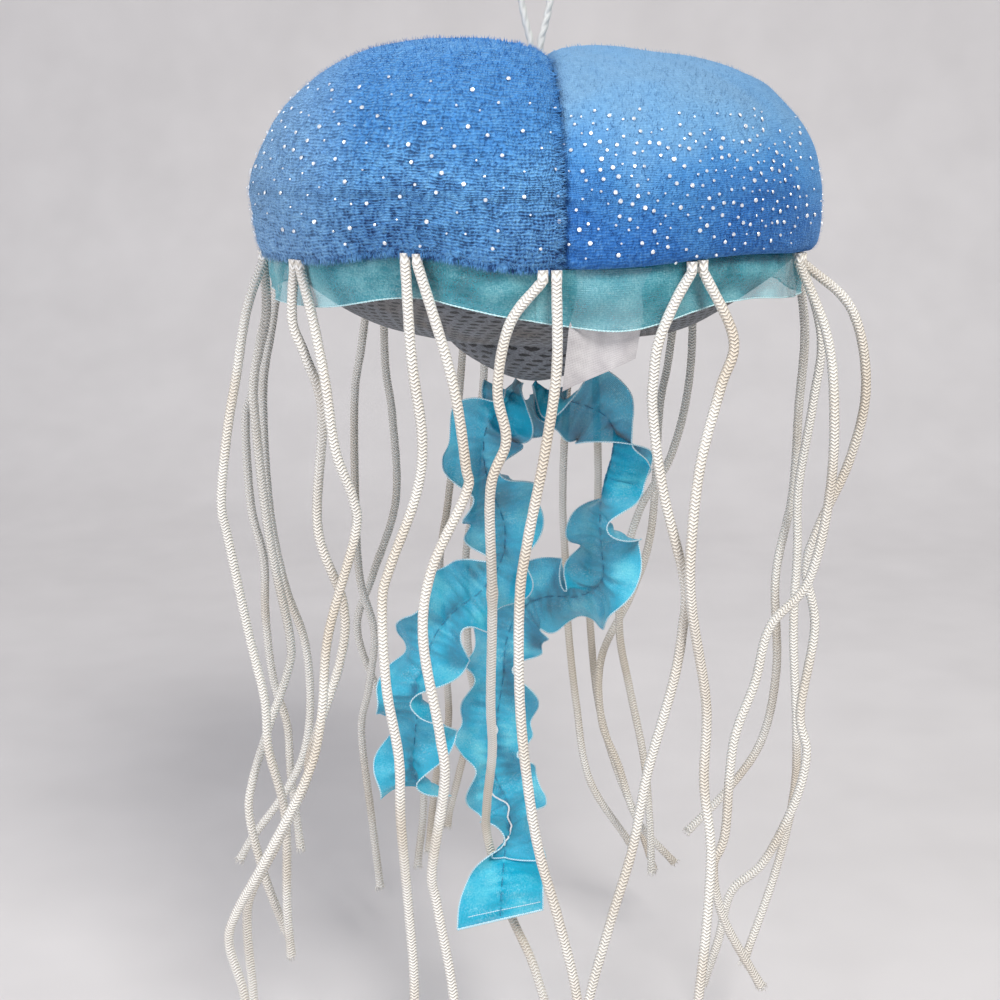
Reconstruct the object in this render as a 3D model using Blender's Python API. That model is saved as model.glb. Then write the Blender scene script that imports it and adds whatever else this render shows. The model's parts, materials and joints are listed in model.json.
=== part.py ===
"""A plush jellyfish that hangs by a thread loop: a stuffed velour bell of four gores, a printed underside,
an organza frill in the rim seam, two gathered organza streamers and twelve pairs of satin cord tentacles.

Metres, +Z up. The origin is where a hook holds the loop, the front of the bell faces -Y and +X is to the right
as one looks at the front. An azimuth is in degrees from the front, towards +X.
"""

from math import ceil, cos, exp, pi, radians, sin, sqrt

import bmesh
import bpy
from mathutils import Vector

# The hanging loop
LOOP_HEIGHT = 0.028
LOOP_CORD = 0.002
LOOP_SPREAD = 0.0043
LOOP_FOOT = 0.00135

# The bell: its rim, its widest ring and its height along the seams
RIM_RADIUS = 0.0778
BELL_RADIUS = 0.0802
WIDEST_HEIGHT = 0.0158
BELL_HEIGHT = 0.0515
SHOULDER = 0.42
CROWN = 1.26
SEAM_AZIMUTH = 5.0
SEAM_PINCH = 0.0016
PUFF_LEFT = 0.0044
PUFF_RIGHT = 0.0022
RIGHT_DROOP = 0.0023
CROWN_DIMPLE = 0.0020
DIMPLE_WIDTH = 0.013
CROWN_HOLE = 0.0030
VELOUR = 0.0025

# The rim isn't level: it is lifted at two places of the front
LIFT_LEFT = 0.0038
LIFT_LEFT_AZIMUTH = -24.0
LIFT_LEFT_WIDTH = 15.0
LIFT_RIGHT = 0.0020
LIFT_RIGHT_AZIMUTH = 42.0
LIFT_RIGHT_WIDTH = 20.0
LIFT_CLIMB = 0.45
LIFT_BELLY = 0.012
LIFT_CORD = 25

# The underside: a ring of printed cloth and a small round cap below the rim
UNDERSIDE_DROP = 0.0380
CAP_RADIUS = 0.0265
CAP_SEAM_DROP = 0.0240
PRINTED_CLOTH = 0.0015

# The organza frill in the rim seam
FRILL_DEPTH = 0.0118
FRILL_DROOP = 0.0030
FRILL_DROOP_AZIMUTH = 19.0
FRILL_DROOP_WIDTH = 15.0
FRILL_WAVE = 0.0015
FRILL_CLOTH = 0.0005

# The sewn label, bare
LABEL_AZIMUTH = 15.0
LABEL_WIDTH = 0.0195
LABEL_LENGTH = 0.0260
LABEL_SLANT = 0.0070
LABEL_LEAN = 0.0030
LABEL_TUCK = 0.0026
LABEL_TWIST = 0.0030
LABEL_CLOTH = 0.0004

# The streamers: one-inch organza ribbon gathered along its middle
RIBBON_WIDTH = 0.0250
RIBBON_CLOTH = 0.0006
RUFFLE_PITCH = 0.0250
RUFFLE_SWING = 46.0
RUFFLE_OFFSET = 2.1
RUFFLE_LEAN = 14.0
RUFFLE_CURL = 12.0
RUFFLE_SCALLOP = 0.03
FLAT_END = 0.023
FLAT_SLANT = 0.0034
STREAMER_STEP = 0.0028
KNOT_WIDTH = 0.12
KNOT_LENGTH = 0.013
NECK_AT = 0.184
NECK_LENGTH = 0.007
NECK_PULL = 0.92

# The tentacles: braided satin cord, two to each place in the rim seam
CORD = 0.0027
PAIR_GAP = 0.0006
CORD_LEAD = 0.0025
SWAY = 0.0045
SWAY_LENGTH = 21
SWAY_START = 60
STILL_AZIMUTH = 10

# Thread gap between pieces that are sewn to each other, and how finely the solids are drawn
CLEARANCE = 0.0003
SEAM_GAP = 0.0006
CORD_STEP = 3.0
GORE_SPANS = 15
RING_SPANS = 60
FRILL_SPANS = 72

RIM_Z = -(LOOP_HEIGHT + BELL_HEIGHT - CROWN_DIMPLE)
CROWN_Z = RIM_Z + BELL_HEIGHT - CROWN_DIMPLE

# The rim seam, from outside in: tentacles, frill, label, underside
CORD_RADIUS = RIM_RADIUS + CLEARANCE - CORD / 2
FRILL_RADIUS = CORD_RADIUS - CORD / 2 - CLEARANCE - FRILL_CLOTH / 2
LABEL_RADIUS = FRILL_RADIUS - FRILL_CLOTH / 2 - CLEARANCE - LABEL_CLOTH / 2
UNDERSIDE_EDGE = LABEL_RADIUS - LABEL_CLOTH / 2 - CLEARANCE

# Routes of the tentacles, as (to the right, down, to the front) in millimetres from the cord's own root
TENTACLE_PAIRS = (
    # Rear, left of the middle
    (-165,
     ((0, 0, 0), (1, 41, 3), (0, 58, 3), (-3, 93, 3), (-6, 114, 3), (-5, 150, 3), (-3, 166, 3),
      (-8, 189, 3), (-13, 210, 3), (-14, 216, 3)),
     ((0, 0, 0), (-5, 59, -3), (-9, 94, -3), (-12, 116, -3), (-11, 146, -3), (-10, 176, -3),
      (-15, 199, -3), (-18, 227, -3))),
    # Rear left
    (-139,
     ((0, 0, 0), (-1, 42, -3), (1, 62, -3), (2, 90, -3), (-6, 115, -3), (-12, 134, -3), (-7, 156, -3),
      (2, 177, -3), (9, 198, -3), (7, 224, -3)),
     ((0, 0, 0), (-5, 36, 3), (-8, 54, 3), (-8, 89, 3), (-7, 114, 3), (-3, 134, 3), (-6, 156, 3),
      (-9, 172, 3), (-6, 202, 3), (-3, 227, 3))),
    # Left, behind the middle
    (-104,
     ((0, 0, 0), (-9, 27, -2), (-13, 47, -3), (-15, 55, -3), (-14, 81, -3), (-11, 99, -3), (-12, 119, -3),
      (-11, 141, -3), (-7, 157, -3), (-6, 173, -3), (-3, 197, -3)),
     ((0, 0, 0), (-4, 25, 2), (-7, 45, 3), (-6, 79, 3), (-3, 105, 3), (2, 125, 3), (3, 145, 3),
      (1, 161, 3), (-5, 174, 3), (-16, 189, 3), (-20, 196, 3))),
    # Left, before the middle
    (-78,
     ((0, 0, 0), (0, 18, -1), (-4, 35, -3), (-4, 48, -3), (-2, 83, -3), (2, 115, -3), (1, 126, -3),
      (-5, 143, -3), (-10, 159, -3), (-11, 170, -3), (-7, 189, -3), (-2, 208, -3)),
     ((0, 0, 0), (-5, 16, 1), (-8, 34, 3), (-11, 50, 3), (-14, 70, 3), (-13, 82, 3), (-9, 112, 3),
      (-5, 131, 3), (-4, 145, 3), (0, 160, 3), (1, 172, 3), (0, 195, 3), (0, 213, 3))),
    # Front left
    (-53,
     ((0, 0, 0), (-1, 16, -1), (2, 25, -2), (6, 40, -3), (3, 73, -3), (9, 95, -3), (8, 111, -3),
      (0, 135, -3), (-2, 145, -3), (-11, 164, -3), (-19, 180, -3), (-21, 192, -3), (-21, 214, -3),
      (-21, 227, -3)),
     ((0, 0, 0), (3, 15, 1), (6, 31, 2), (8, 49, 3), (12, 63, 3), (12, 73, 3), (4, 101, 3), (2, 123, 3),
      (-2, 139, 3), (-15, 165, 3), (-24, 182, 3), (-27, 193, 3), (-24, 210, 3), (-23, 225, 3))),
    # Front, left of the middle
    (-23,
     ((0, 0, 0), (1, 22, -1), (3, 43, -2), (1, 58, -2), (-6, 77, -2), (-8, 86, -2), (-7, 107, -2),
      (-4, 126, -2), (-4, 144, -2), (-3, 172, -2), (-2, 198, -2), (-3, 225, -2)),
     ((0, 0, 0), (8, 27, 1), (11, 49, 2), (11, 56, 2), (2, 76, 2), (0, 93, 2), (4, 117, 2), (5, 131, 2),
      (1, 158, 2), (2, 169, 2), (6, 196, 2), (8, 222, 2))),
    # Front middle
    (2.5,
     ((0, 0, 0), (-8, 13, -1), (-11, 29, -3), (-9, 42, -4), (-13, 55, -5), (-13, 87, -16),
      (-14, 119, -28), (-14, 139, -39), (-16, 160, -50), (-16, 174, -56), (-10, 197, -56), (-3, 212, -52),
      (2, 226, -46)),
     ((0, 0, 0), (0, 24, 1), (-3, 45, 2), (-7, 66, 2), (-9, 81, 2), (-9, 108, 2), (-7, 131, 2),
      (-4, 150, 2), (1, 169, 2), (6, 192, 2), (8, 220, 2))),
    # Front right
    (31,
     ((0, 0, 0), (-4, 9, 2), (-8, 18, 4), (-9, 26, 3), (-9, 36, 1), (-6, 56, -3), (0, 80, -4),
      (0, 93, -4), (-2, 109, -3), (-8, 135, -2), (-12, 157, -2), (-18, 177, -2), (-24, 201, -2),
      (-25, 228, -2)),
     ((0, 0, 0), (8, 18, 1), (5, 30, 1), (0, 49, 2), (-2, 71, 3), (-1, 87, 3), (4, 115, 2), (4, 137, 2),
      (6, 155, 2), (5, 175, 2), (3, 199, 2), (2, 226, 2))),
    # Right, before the middle
    (67,
     ((0, 0, 0), (8, 22, 2), (10, 44, 4), (10, 68, 4), (6, 91, 4), (-4, 104, 4), (-8, 120, 4),
      (-14, 137, 4), (-16, 163, 4), (-19, 174, 4), (-15, 192, 4), (-3, 216, 4)),
     ((0, 0, 0), (14, 15, -1), (19, 36, -3), (16, 57, -3), (9, 77, -3), (6, 90, -3), (9, 107, -3),
      (5, 131, -3), (7, 143, -3), (4, 158, -3), (-4, 178, -3), (-13, 189, -3), (-16, 207, -3),
      (-20, 222, -3))),
    # Right, behind the middle
    (97,
     ((0, 0, 0), (7, 26, 2), (6, 46, 3), (3, 73, 3), (3, 92, 3), (2, 116, 3), (4, 147, 3), (5, 171, 3),
      (1, 199, 3), (-9, 230, 3)),
     ((0, 0, 0), (4, 26, -2), (4, 50, -3), (3, 77, -3), (-2, 102, -3), (-1, 131, -3), (-4, 156, -3),
      (-13, 174, -3), (-26, 190, -3))),
    # Rear right
    (140,
     ((0, 0, 0), (0, 45, 3), (-6, 72, 3), (-16, 90, 3), (-21, 111, 3), (-22, 135, 3), (-18, 157, 3),
      (-13, 181, 3), (-11, 201, 3), (-10, 221, 3)),
     ((0, 0, 0), (-4, 42, -3), (-7, 59, -3), (-9, 100, -3), (-15, 124, -3), (-25, 148, -3),
      (-25, 170, -3), (-19, 186, -3), (-12, 206, -3), (1, 222, -3))),
    # Rear, right of the middle
    (168,
     ((0, 0, 0), (3, 59, -3), (4, 94, -3), (1, 116, -3), (2, 142, -3), (5, 169, -3), (12, 194, -3),
      (20, 215, -3), (26, 235, -3)),
     ((0, 0, 0), (-4, 58, 3), (-5, 93, 3), (-4, 114, 3), (-3, 138, 3), (0, 166, 3), (5, 195, 3),
      (20, 222, 3))),
)

# Routes of the streamers' gathering threads, in millimetres from the tip of the underside, and how each half of
# the ribbon stands there: (to the right, down, to the front, angle of one half, angle of the other). Looking
# down along the thread from the front, 0 degrees is to the right, 90 to the front and 180 to the left.
LONG_STREAMER = (
    (-0.5, 0.9, 0, 90, 200),
    (7, 6, 0, 70, 185),
    (16, 9, 0, 35, 180),
    (22, 13, 1, 10, 150),
    (22.5, 22, 1, 5, 75),
    (20, 32, 0, 25, -30),
    (19, 44, -1, 25, -70),
    (20, 55, -3, 10, -150),
    (20, 64, -6, 0, -175),
    (13, 70, -10, -10, -180),
    (4, 71, -14, -10, -180),
    (-4, 75, -15, 0, -175),
    (-9, 84, -12, 10, -170),
    (-10, 95, -7, 20, -165),
    (-12, 107, 0, 0, -180),
    (-13, 120, 5, -10, -190),
    (-8, 131, 11, 0, -180),
    (-9, 139, 21, 10, -175),
    (-10, 147, 28, 5, -175),
    (-10.5, 157, 32, 0, -180),
)
SHORT_STREAMER = (
    (-4.5, 0.6, 1, 0, 120),
    (-10, 9, 3, -5, 165),
    (-14.5, 14, 5, 0, 190),
    (-15, 24, 7, 10, 175),
    (-12, 34, 8, 10, 170),
    (-9, 43, 8, 5, 180),
    (-10, 53, 9, 0, 170),
    (-16, 61, 13, -10, 165),
    (-24, 66, 17, 10, 190),
    (-30, 74, 19, 30, 205),
    (-33.5, 85, 20, 40, 215),
    (-35, 97, 20, 35, 215),
    (-36, 109, 19, 30, 205),
    (-35.5, 121, 18, 20, 200),
)


def clear_scene():
    for thing in list(bpy.data.objects):
        bpy.data.objects.remove(thing, do_unlink=True)


def finish(name, colour, roughness, sheen=0.0, alpha=1.0):
    """A named Principled material."""
    material = bpy.data.materials.new(name)
    material.use_nodes = True
    shader = material.node_tree.nodes["Principled BSDF"]
    shader.inputs["Base Color"].default_value = (*colour, 1.0)
    shader.inputs["Roughness"].default_value = roughness
    shader.inputs["Metallic"].default_value = 0.0
    shader.inputs["Sheen Weight"].default_value = sheen
    shader.inputs["Alpha"].default_value = alpha
    material.diffuse_color = (*colour, alpha)
    return material


def eased(x):
    x = min(1.0, max(0.0, x))
    return x * x * (3 - 2 * x)


def on_ring(azimuth, radius, z):
    return Vector((radius * sin(radians(azimuth)), -radius * cos(radians(azimuth)), z))


def smooth_route(points, step):
    """Even points along a smooth curve through the given ones."""
    ends = [points[0] * 2 - points[1], *points, points[-1] * 2 - points[-2]]
    fine = []
    for a, b, c, d in zip(ends, ends[1:], ends[2:], ends[3:]):
        for k in range(16):
            t = k / 16
            fine.append(
                0.5 * (2 * b + (c - a) * t + (2 * a - 5 * b + 4 * c - d) * t * t + (3 * b - a - 3 * c + d) * t**3)
            )
    fine.append(points[-1].copy())
    lengths = [0.0]
    for a, b in zip(fine, fine[1:]):
        lengths.append(lengths[-1] + (b - a).length)
    count = max(2, ceil(lengths[-1] / step))
    even, k = [], 0
    for n in range(count + 1):
        wanted = lengths[-1] * n / count
        while k < len(fine) - 2 and lengths[k + 1] < wanted:
            k += 1
        share = (wanted - lengths[k]) / (lengths[k + 1] - lengths[k])
        even.append(fine[k].lerp(fine[k + 1], share))
    return even


def tube(name, points, diameter, material):
    """A round cord with flat cut ends."""
    curve = bpy.data.curves.new(name, "CURVE")
    curve.dimensions = "3D"
    curve.bevel_depth = diameter / 2
    curve.bevel_resolution = 2
    curve.use_fill_caps = True
    spline = curve.splines.new("POLY")
    spline.points.add(len(points) - 1)
    for spot, point in zip(spline.points, points):
        spot.co = (*point, 1.0)
    curve.materials.append(material)
    cord = bpy.data.objects.new(name, curve)
    bpy.context.scene.collection.objects.link(cord)
    return cord


def cloth(name, place, columns, rows, thickness, side, material, closed=False):
    """A sheet laid out by place(u, v) for u and v from 0 to 1, with a thickness that grows to one side."""
    sheet = bmesh.new()
    bmesh.ops.create_grid(sheet, x_segments=round(columns), y_segments=round(rows), size=0.5)
    for vertex in sheet.verts:
        vertex.co = place(vertex.co.x + 0.5, vertex.co.y + 0.5)
    if closed:
        bmesh.ops.remove_doubles(sheet, verts=sheet.verts, dist=1e-6)
    mesh = bpy.data.meshes.new(name)
    sheet.to_mesh(mesh)
    sheet.free()
    mesh.shade_smooth()
    mesh.set_sharp_from_angle(angle=radians(40))
    mesh.materials.append(material)
    piece = bpy.data.objects.new(name, mesh)
    bpy.context.scene.collection.objects.link(piece)
    wall = piece.modifiers.new("thickness", "SOLIDIFY")
    wall.thickness = thickness
    wall.offset = side
    return piece


def rim_lift(azimuth):
    """How much higher the rim is at an azimuth than at its lowest."""
    left = ((azimuth - LIFT_LEFT_AZIMUTH + 180) % 360 - 180) / LIFT_LEFT_WIDTH
    right = ((azimuth - LIFT_RIGHT_AZIMUTH + 180) % 360 - 180) / LIFT_RIGHT_WIDTH
    return LIFT_LEFT * exp(-left * left) + LIFT_RIGHT * exp(-right * right)


def bell_height(azimuth, radius_share):
    """How far a gore puffs up between its seams, and how the right side droops."""
    across = (azimuth - SEAM_AZIMUTH) % 360
    puff = PUFF_RIGHT if across < 180 else PUFF_LEFT
    lobe = abs(sin(radians(2 * across))) ** 0.6
    droop = RIGHT_DROOP * max(0.0, sin(radians(azimuth))) * radius_share
    return puff * lobe * min(1.0, radius_share * BELL_RADIUS / 0.025) - droop


def bell_point(azimuth, climb):
    """The outside of the bell: climb is 0 at the rim, 0.25 at the widest ring and 1 at the crown."""
    if climb < 0.25:
        z = WIDEST_HEIGHT * climb / 0.25
        radius = RIM_RADIUS + (BELL_RADIUS - RIM_RADIUS) * sqrt(1 - (1 - climb / 0.25) ** 2)
    else:
        turn = (climb - 0.25) / 0.75 * pi / 2
        z = WIDEST_HEIGHT + (BELL_HEIGHT - WIDEST_HEIGHT) * sin(turn) ** CROWN
        radius = BELL_RADIUS * max(0.0, cos(turn)) ** SHOULDER
    lobe = abs(sin(radians(2 * (azimuth - SEAM_AZIMUTH)))) ** 0.6
    share = radius / BELL_RADIUS
    high = (z / BELL_HEIGHT) ** 4
    z += bell_height(azimuth, share) * high - CROWN_DIMPLE * exp(-((radius / DIMPLE_WIDTH) ** 2))
    radius -= SEAM_PINCH * (1 - lobe) * min(1.0, z / 0.012) * share
    return radius, z + rim_lift(azimuth) * max(0.0, 1 - climb / LIFT_CLIMB) ** 1.5


def crown_climb():
    """The climb at which the gores end, round the hole that the loop comes out of."""
    return 0.25 + 0.75 * (1 - (CROWN_HOLE / BELL_RADIUS) ** (1 / SHOULDER) * 2 / pi)


def gore(name, from_seam, material):
    def place(u, v):
        climb = crown_climb() * v**0.9
        radius, z = bell_point(from_seam + 90 * u, climb)
        gap = degrees_of(SEAM_GAP / radius)
        azimuth = from_seam + gap / 2 + (90 - gap) * u
        return on_ring(azimuth, radius, RIM_Z + z)

    return cloth(name, place, GORE_SPANS, 11, VELOUR, -1.0, material)


def make_bell(material):
    gore("bell_gore_front_right", SEAM_AZIMUTH, material)
    gore("bell_gore_rear_right", SEAM_AZIMUTH + 90, material)
    gore("bell_gore_rear_left", SEAM_AZIMUTH + 180, material)
    gore("bell_gore_front_left", SEAM_AZIMUTH + 270, material)


def underside_drop(radius):
    """How far below the rim the underside hangs at a radius."""
    if radius > CAP_RADIUS:
        share = (UNDERSIDE_EDGE - radius) / (UNDERSIDE_EDGE - CAP_RADIUS)
        return CAP_SEAM_DROP * sin(share * pi / 2) ** 0.85
    share = 1 - radius / CAP_RADIUS
    return CAP_SEAM_DROP + (UNDERSIDE_DROP - CAP_SEAM_DROP) * sin(share * pi / 2) ** 0.8


def make_underside(material):
    def ring(u, v):
        radius = CAP_RADIUS + CLEARANCE + (UNDERSIDE_EDGE - CAP_RADIUS - CLEARANCE) * v
        lift = rim_lift(360 * u) * max(0.0, 1 - (UNDERSIDE_EDGE - radius) / LIFT_BELLY) ** 2
        return on_ring(360 * u, radius, RIM_Z - CLEARANCE - underside_drop(radius) + lift)

    def cap(u, v):
        radius = CAP_RADIUS * v
        return on_ring(360 * u, radius, RIM_Z - CLEARANCE - underside_drop(radius))

    cloth("underside_ring", ring, RING_SPANS, 5, PRINTED_CLOTH, -1.0, material, closed=True)
    cloth("underside_cap", cap, RING_SPANS / 2, 3, PRINTED_CLOTH, -1.0, material, closed=True)


def make_filling(material):
    """The stuffing that fills the bell and the underside."""
    top, low = 11, 9
    lining = VELOUR + SEAM_PINCH + CLEARANCE
    profile = [(0.0, RIM_Z + BELL_HEIGHT - CROWN_DIMPLE - lining)]
    for k in range(1, top):
        climb = 1 - (1 - 0.06) * k / (top - 1)
        radius, z = bell_point(SEAM_AZIMUTH, climb)
        radius = min(max(radius - lining, 0.004), UNDERSIDE_EDGE - 2 * PRINTED_CLOTH)
        profile.append((radius, RIM_Z + max(z - lining - RIGHT_DROOP, 3 * PRINTED_CLOTH)))
    for k in range(1, low):
        radius = (UNDERSIDE_EDGE - 6 * PRINTED_CLOTH) * (1 - k / (low - 1))
        z = RIM_Z - underside_drop(max(radius, 0.0)) + 2.2 * PRINTED_CLOTH
        profile.append((radius, z))
    solid = bmesh.new()
    chain = [solid.verts.new((0, -radius, z)) for radius, z in profile]
    edges = [solid.edges.new(pair) for pair in zip(chain, chain[1:])]
    bmesh.ops.spin(
        solid, geom=chain + edges, cent=(0, 0, 0), axis=(0, 0, 1), angle=2 * pi, steps=16, use_merge=True
    )
    bmesh.ops.remove_doubles(solid, verts=solid.verts, dist=1e-6)
    bmesh.ops.recalc_face_normals(solid, faces=solid.faces)
    mesh = bpy.data.meshes.new("filling")
    solid.to_mesh(mesh)
    solid.free()
    mesh.shade_smooth()
    mesh.materials.append(material)
    piece = bpy.data.objects.new("filling", mesh)
    bpy.context.scene.collection.objects.link(piece)


def frill_point(u, v):
    """The organza frill, from the rim seam down, with a shallow wave between the tentacles."""
    azimuth = 360 * u
    turn = (azimuth - FRILL_DROOP_AZIMUTH + 180) % 360 - 180
    depth = FRILL_DEPTH + FRILL_DROOP * exp(-((turn / FRILL_DROOP_WIDTH) ** 2))
    nearest = min(abs((azimuth - pair[0] + 180) % 360 - 180) for pair in TENTACLE_PAIRS)
    wave = FRILL_WAVE * (eased(nearest / 13) - 0.75) * eased(v * 1.6)
    radius = FRILL_RADIUS - 0.0004 * v + wave
    depth *= 1 + 0.05 * sin(radians(azimuth * 5 + 40))
    return on_ring(azimuth, radius, RIM_Z - CLEARANCE + rim_lift(azimuth) - depth * v)


def make_frill(material):
    cloth("frill", frill_point, FRILL_SPANS, 3, FRILL_CLOTH, 0.0, material, closed=True)


def make_label(material):
    def place(u, v):
        across = (u - 0.5) * LABEL_WIDTH
        turn = degrees_of(across / LABEL_RADIUS)
        hung = on_ring(LABEL_AZIMUTH + turn * (1 - 0.9 * v), LABEL_RADIUS, 0)
        facing = on_ring(LABEL_AZIMUTH, 1, 0)
        along = Vector((-facing.y, facing.x, 0))
        flat = on_ring(LABEL_AZIMUTH, LABEL_RADIUS, 0) + along * across
        point = hung.lerp(flat, eased(v * 2))
        drop = LABEL_LENGTH * v + LABEL_SLANT * (0.5 - u) * v
        point -= along * LABEL_LEAN * v
        point -= facing * (LABEL_TUCK * eased(v * 3) + LABEL_TWIST * (u - 0.5) * v)
        return Vector((point.x, point.y, RIM_Z - CLEARANCE - drop))

    cloth("sewn_label", place, 4, 6, LABEL_CLOTH, 0.0, material)


def degrees_of(turn):
    return turn * 180 / pi


def streamer(name, route, material, flat_end, neck=None):
    """A ribbon gathered along its middle, whose two halves swing about the thread in ruffles. At the neck a
    tentacle passes beside the thread, where the left half is pulled in."""
    tip = Vector((0, 0, RIM_Z - CLEARANCE - UNDERSIDE_DROP))
    points = [tip + Vector((right, -front, -down)) * 0.001 for right, down, front, _, _ in route]
    turns = [Vector((one, other, 0)) for _, _, _, one, other in route]
    spine = smooth_route(points, STREAMER_STEP)
    spans = len(spine) - 1

    def at(values, place):
        place = min(max(place * (len(values) - 1), 0), len(values) - 1.000001)
        k = int(place)
        return values[k].lerp(values[k + 1], place - k)

    station = [0.0]
    for a, b in zip(points, points[1:]):
        station.append(station[-1] + (b - a).length)

    def half_angles(share):
        along = share * station[-1]
        k = max(j for j in range(len(station) - 1) if station[j] <= along + 1e-9)
        between = min(1.0, (along - station[k]) / (station[k + 1] - station[k]))
        return turns[k].lerp(turns[k + 1], between * between * (3 - 2 * between))

    def place(u, v):
        centre = at(spine, u)
        ahead = (at(spine, u + 0.03) - at(spine, u - 0.03)).normalized()
        side = Vector((0, -1, 0)).cross(ahead).normalized()
        out = ahead.cross(side)
        length = u * spans * STREAMER_STEP
        across = v * 2 - 1
        calm = eased((1 - u) * spans * STREAMER_STEP / FLAT_END) if flat_end else 1.0
        angles = half_angles(u)
        phase = 2 * pi * length / RUFFLE_PITCH
        if across >= 0:
            turn = angles.x + calm * (RUFFLE_LEAN + RUFFLE_SWING * sin(phase))
            bend = phase
        else:
            turn = angles.y + calm * (RUFFLE_SWING * sin(phase + RUFFLE_OFFSET) - RUFFLE_LEAN)
            bend = phase + RUFFLE_OFFSET
        reach = RIBBON_WIDTH / 2 * abs(across) * (KNOT_WIDTH + (1 - KNOT_WIDTH) * eased(length / KNOT_LENGTH))
        if neck and across < 0:
            reach *= 1 - NECK_PULL * exp(-(((length - neck) / NECK_LENGTH) ** 2))
        turn = radians(turn + calm * RUFFLE_CURL * cos(bend) * across * across)
        reach *= 1 - calm * RUFFLE_SCALLOP * (1 + cos(bend))
        slant = ahead * FLAT_SLANT * across * (1 - calm)
        return centre + (side * cos(turn) + out * sin(turn)) * reach - slant

    return cloth(name, place, spans, 6, RIBBON_CLOTH, 0.0, material)


def make_streamers(material):
    streamer("streamer_long", LONG_STREAMER, material, flat_end=True, neck=NECK_AT)
    streamer("streamer_short", SHORT_STREAMER, material, flat_end=False)


def tentacle_points(azimuth, route, place_in_pair):
    """The root in the rim seam and the free points below it, which sway to the front and back. The front middle
    pair doesn't, because one of its cords passes between the lobes of a streamer."""
    turn = degrees_of((CORD + PAIR_GAP) / 2 / CORD_RADIUS) * place_in_pair
    lift = rim_lift(azimuth + turn)
    low = on_ring(azimuth + turn, CORD_RADIUS, RIM_Z - CLEARANCE)
    root = low + Vector((0, 0, lift))
    free = root - Vector((0, 0, CORD_LEAD))
    points = [free]
    for right, down, front in route[1:]:
        sway = SWAY * eased(down / SWAY_START) * sin(down / SWAY_LENGTH + azimuth / 20 + 0.2 * place_in_pair)
        if abs(azimuth) < STILL_AZIMUTH:
            sway = 0.0
        rise = lift * (1 - eased(down / LIFT_CORD))
        points.append(low + Vector((right, -front, -down)) * 0.001 + Vector((0, sway, rise)))
    return root, points


def make_tentacles(material):
    number = 1
    for azimuth, *routes in TENTACLE_PAIRS:
        for route, place_in_pair in zip(routes, (-1, 1)):
            root, free = tentacle_points(azimuth, route, place_in_pair)
            tube(f"tentacle_cord_{number:02d}", [root, *smooth_route(free, CORD_STEP * CORD)], CORD, material)
            number += 1


def loop_points():
    """Both strands of the loop, from one foot in the crown over the hook's place to the other."""
    foot = CROWN_Z - VELOUR * 0.6
    rise = LOOP_HEIGHT + LOOP_CORD / 2
    left = [
        Vector((-LOOP_FOOT, 0, foot)),
        Vector((-LOOP_FOOT, 0, CROWN_Z + 0.02 * rise)),
        Vector((-1.05 * LOOP_FOOT, 0, CROWN_Z + 0.20 * rise)),
        Vector((-0.75 * LOOP_SPREAD, 0, CROWN_Z + 0.45 * rise)),
        Vector((-LOOP_SPREAD, 0, CROWN_Z + 0.70 * rise)),
        Vector((-0.75 * LOOP_SPREAD, 0, CROWN_Z + 0.90 * rise)),
    ]
    top = Vector((0, 0, CROWN_Z + rise))
    return left + [top] + [Vector((-point.x, point.y, point.z)) for point in reversed(left)]


def make_loop(material):
    tube("hanging_loop", smooth_route(loop_points(), 2 * LOOP_CORD), LOOP_CORD, material)


def main():
    clear_scene()
    make_loop(finish("white_twisted_cord", (0.83, 0.83, 0.80), 0.25))
    make_bell(finish("blue_velour", (0.06, 0.21, 0.58), 0.85, sheen=0.6))
    make_underside(finish("grey_printed_velour", (0.15, 0.155, 0.17), 0.9, sheen=0.3))
    make_filling(finish("polyester_fibre_filling", (0.85, 0.85, 0.84), 0.95))
    make_frill(finish("teal_organza", (0.13, 0.42, 0.50), 0.35, alpha=0.6))
    make_label(finish("white_satin_label", (0.82, 0.81, 0.81), 0.45))
    make_streamers(finish("turquoise_organza", (0.02, 0.38, 0.60), 0.35, alpha=0.7))
    make_tentacles(finish("ivory_satin_cord", (0.77, 0.74, 0.68), 0.5))


main()
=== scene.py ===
"""A plush jellyfish that hangs by its thread loop: the dressed model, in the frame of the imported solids.

Metres, +Z up, the front towards -Y. An azimuth is in degrees from the front, towards +X.
"""

import json
import random
from functools import partial
from math import ceil, cos, exp, pi, radians, sin, sqrt

import bmesh
import bpy
from mathutils import Matrix, Vector, noise

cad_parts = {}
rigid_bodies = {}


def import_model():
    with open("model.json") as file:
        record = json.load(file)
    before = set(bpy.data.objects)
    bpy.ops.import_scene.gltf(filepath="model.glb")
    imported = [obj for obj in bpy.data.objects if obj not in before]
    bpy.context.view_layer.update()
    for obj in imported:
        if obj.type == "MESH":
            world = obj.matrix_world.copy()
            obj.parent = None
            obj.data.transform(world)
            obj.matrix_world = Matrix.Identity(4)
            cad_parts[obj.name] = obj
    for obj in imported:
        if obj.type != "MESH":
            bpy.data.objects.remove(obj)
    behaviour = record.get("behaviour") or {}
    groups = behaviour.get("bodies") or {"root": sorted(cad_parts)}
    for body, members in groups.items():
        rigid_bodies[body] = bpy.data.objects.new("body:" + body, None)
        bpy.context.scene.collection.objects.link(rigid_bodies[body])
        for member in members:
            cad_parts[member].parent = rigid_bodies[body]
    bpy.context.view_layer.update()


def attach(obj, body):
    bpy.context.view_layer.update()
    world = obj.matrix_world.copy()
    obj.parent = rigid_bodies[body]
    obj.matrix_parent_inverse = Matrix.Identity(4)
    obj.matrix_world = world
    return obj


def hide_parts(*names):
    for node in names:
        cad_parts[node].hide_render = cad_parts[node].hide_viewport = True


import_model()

# Sizes of the part, as its source has them
LOOP_HEIGHT = 0.028
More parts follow.
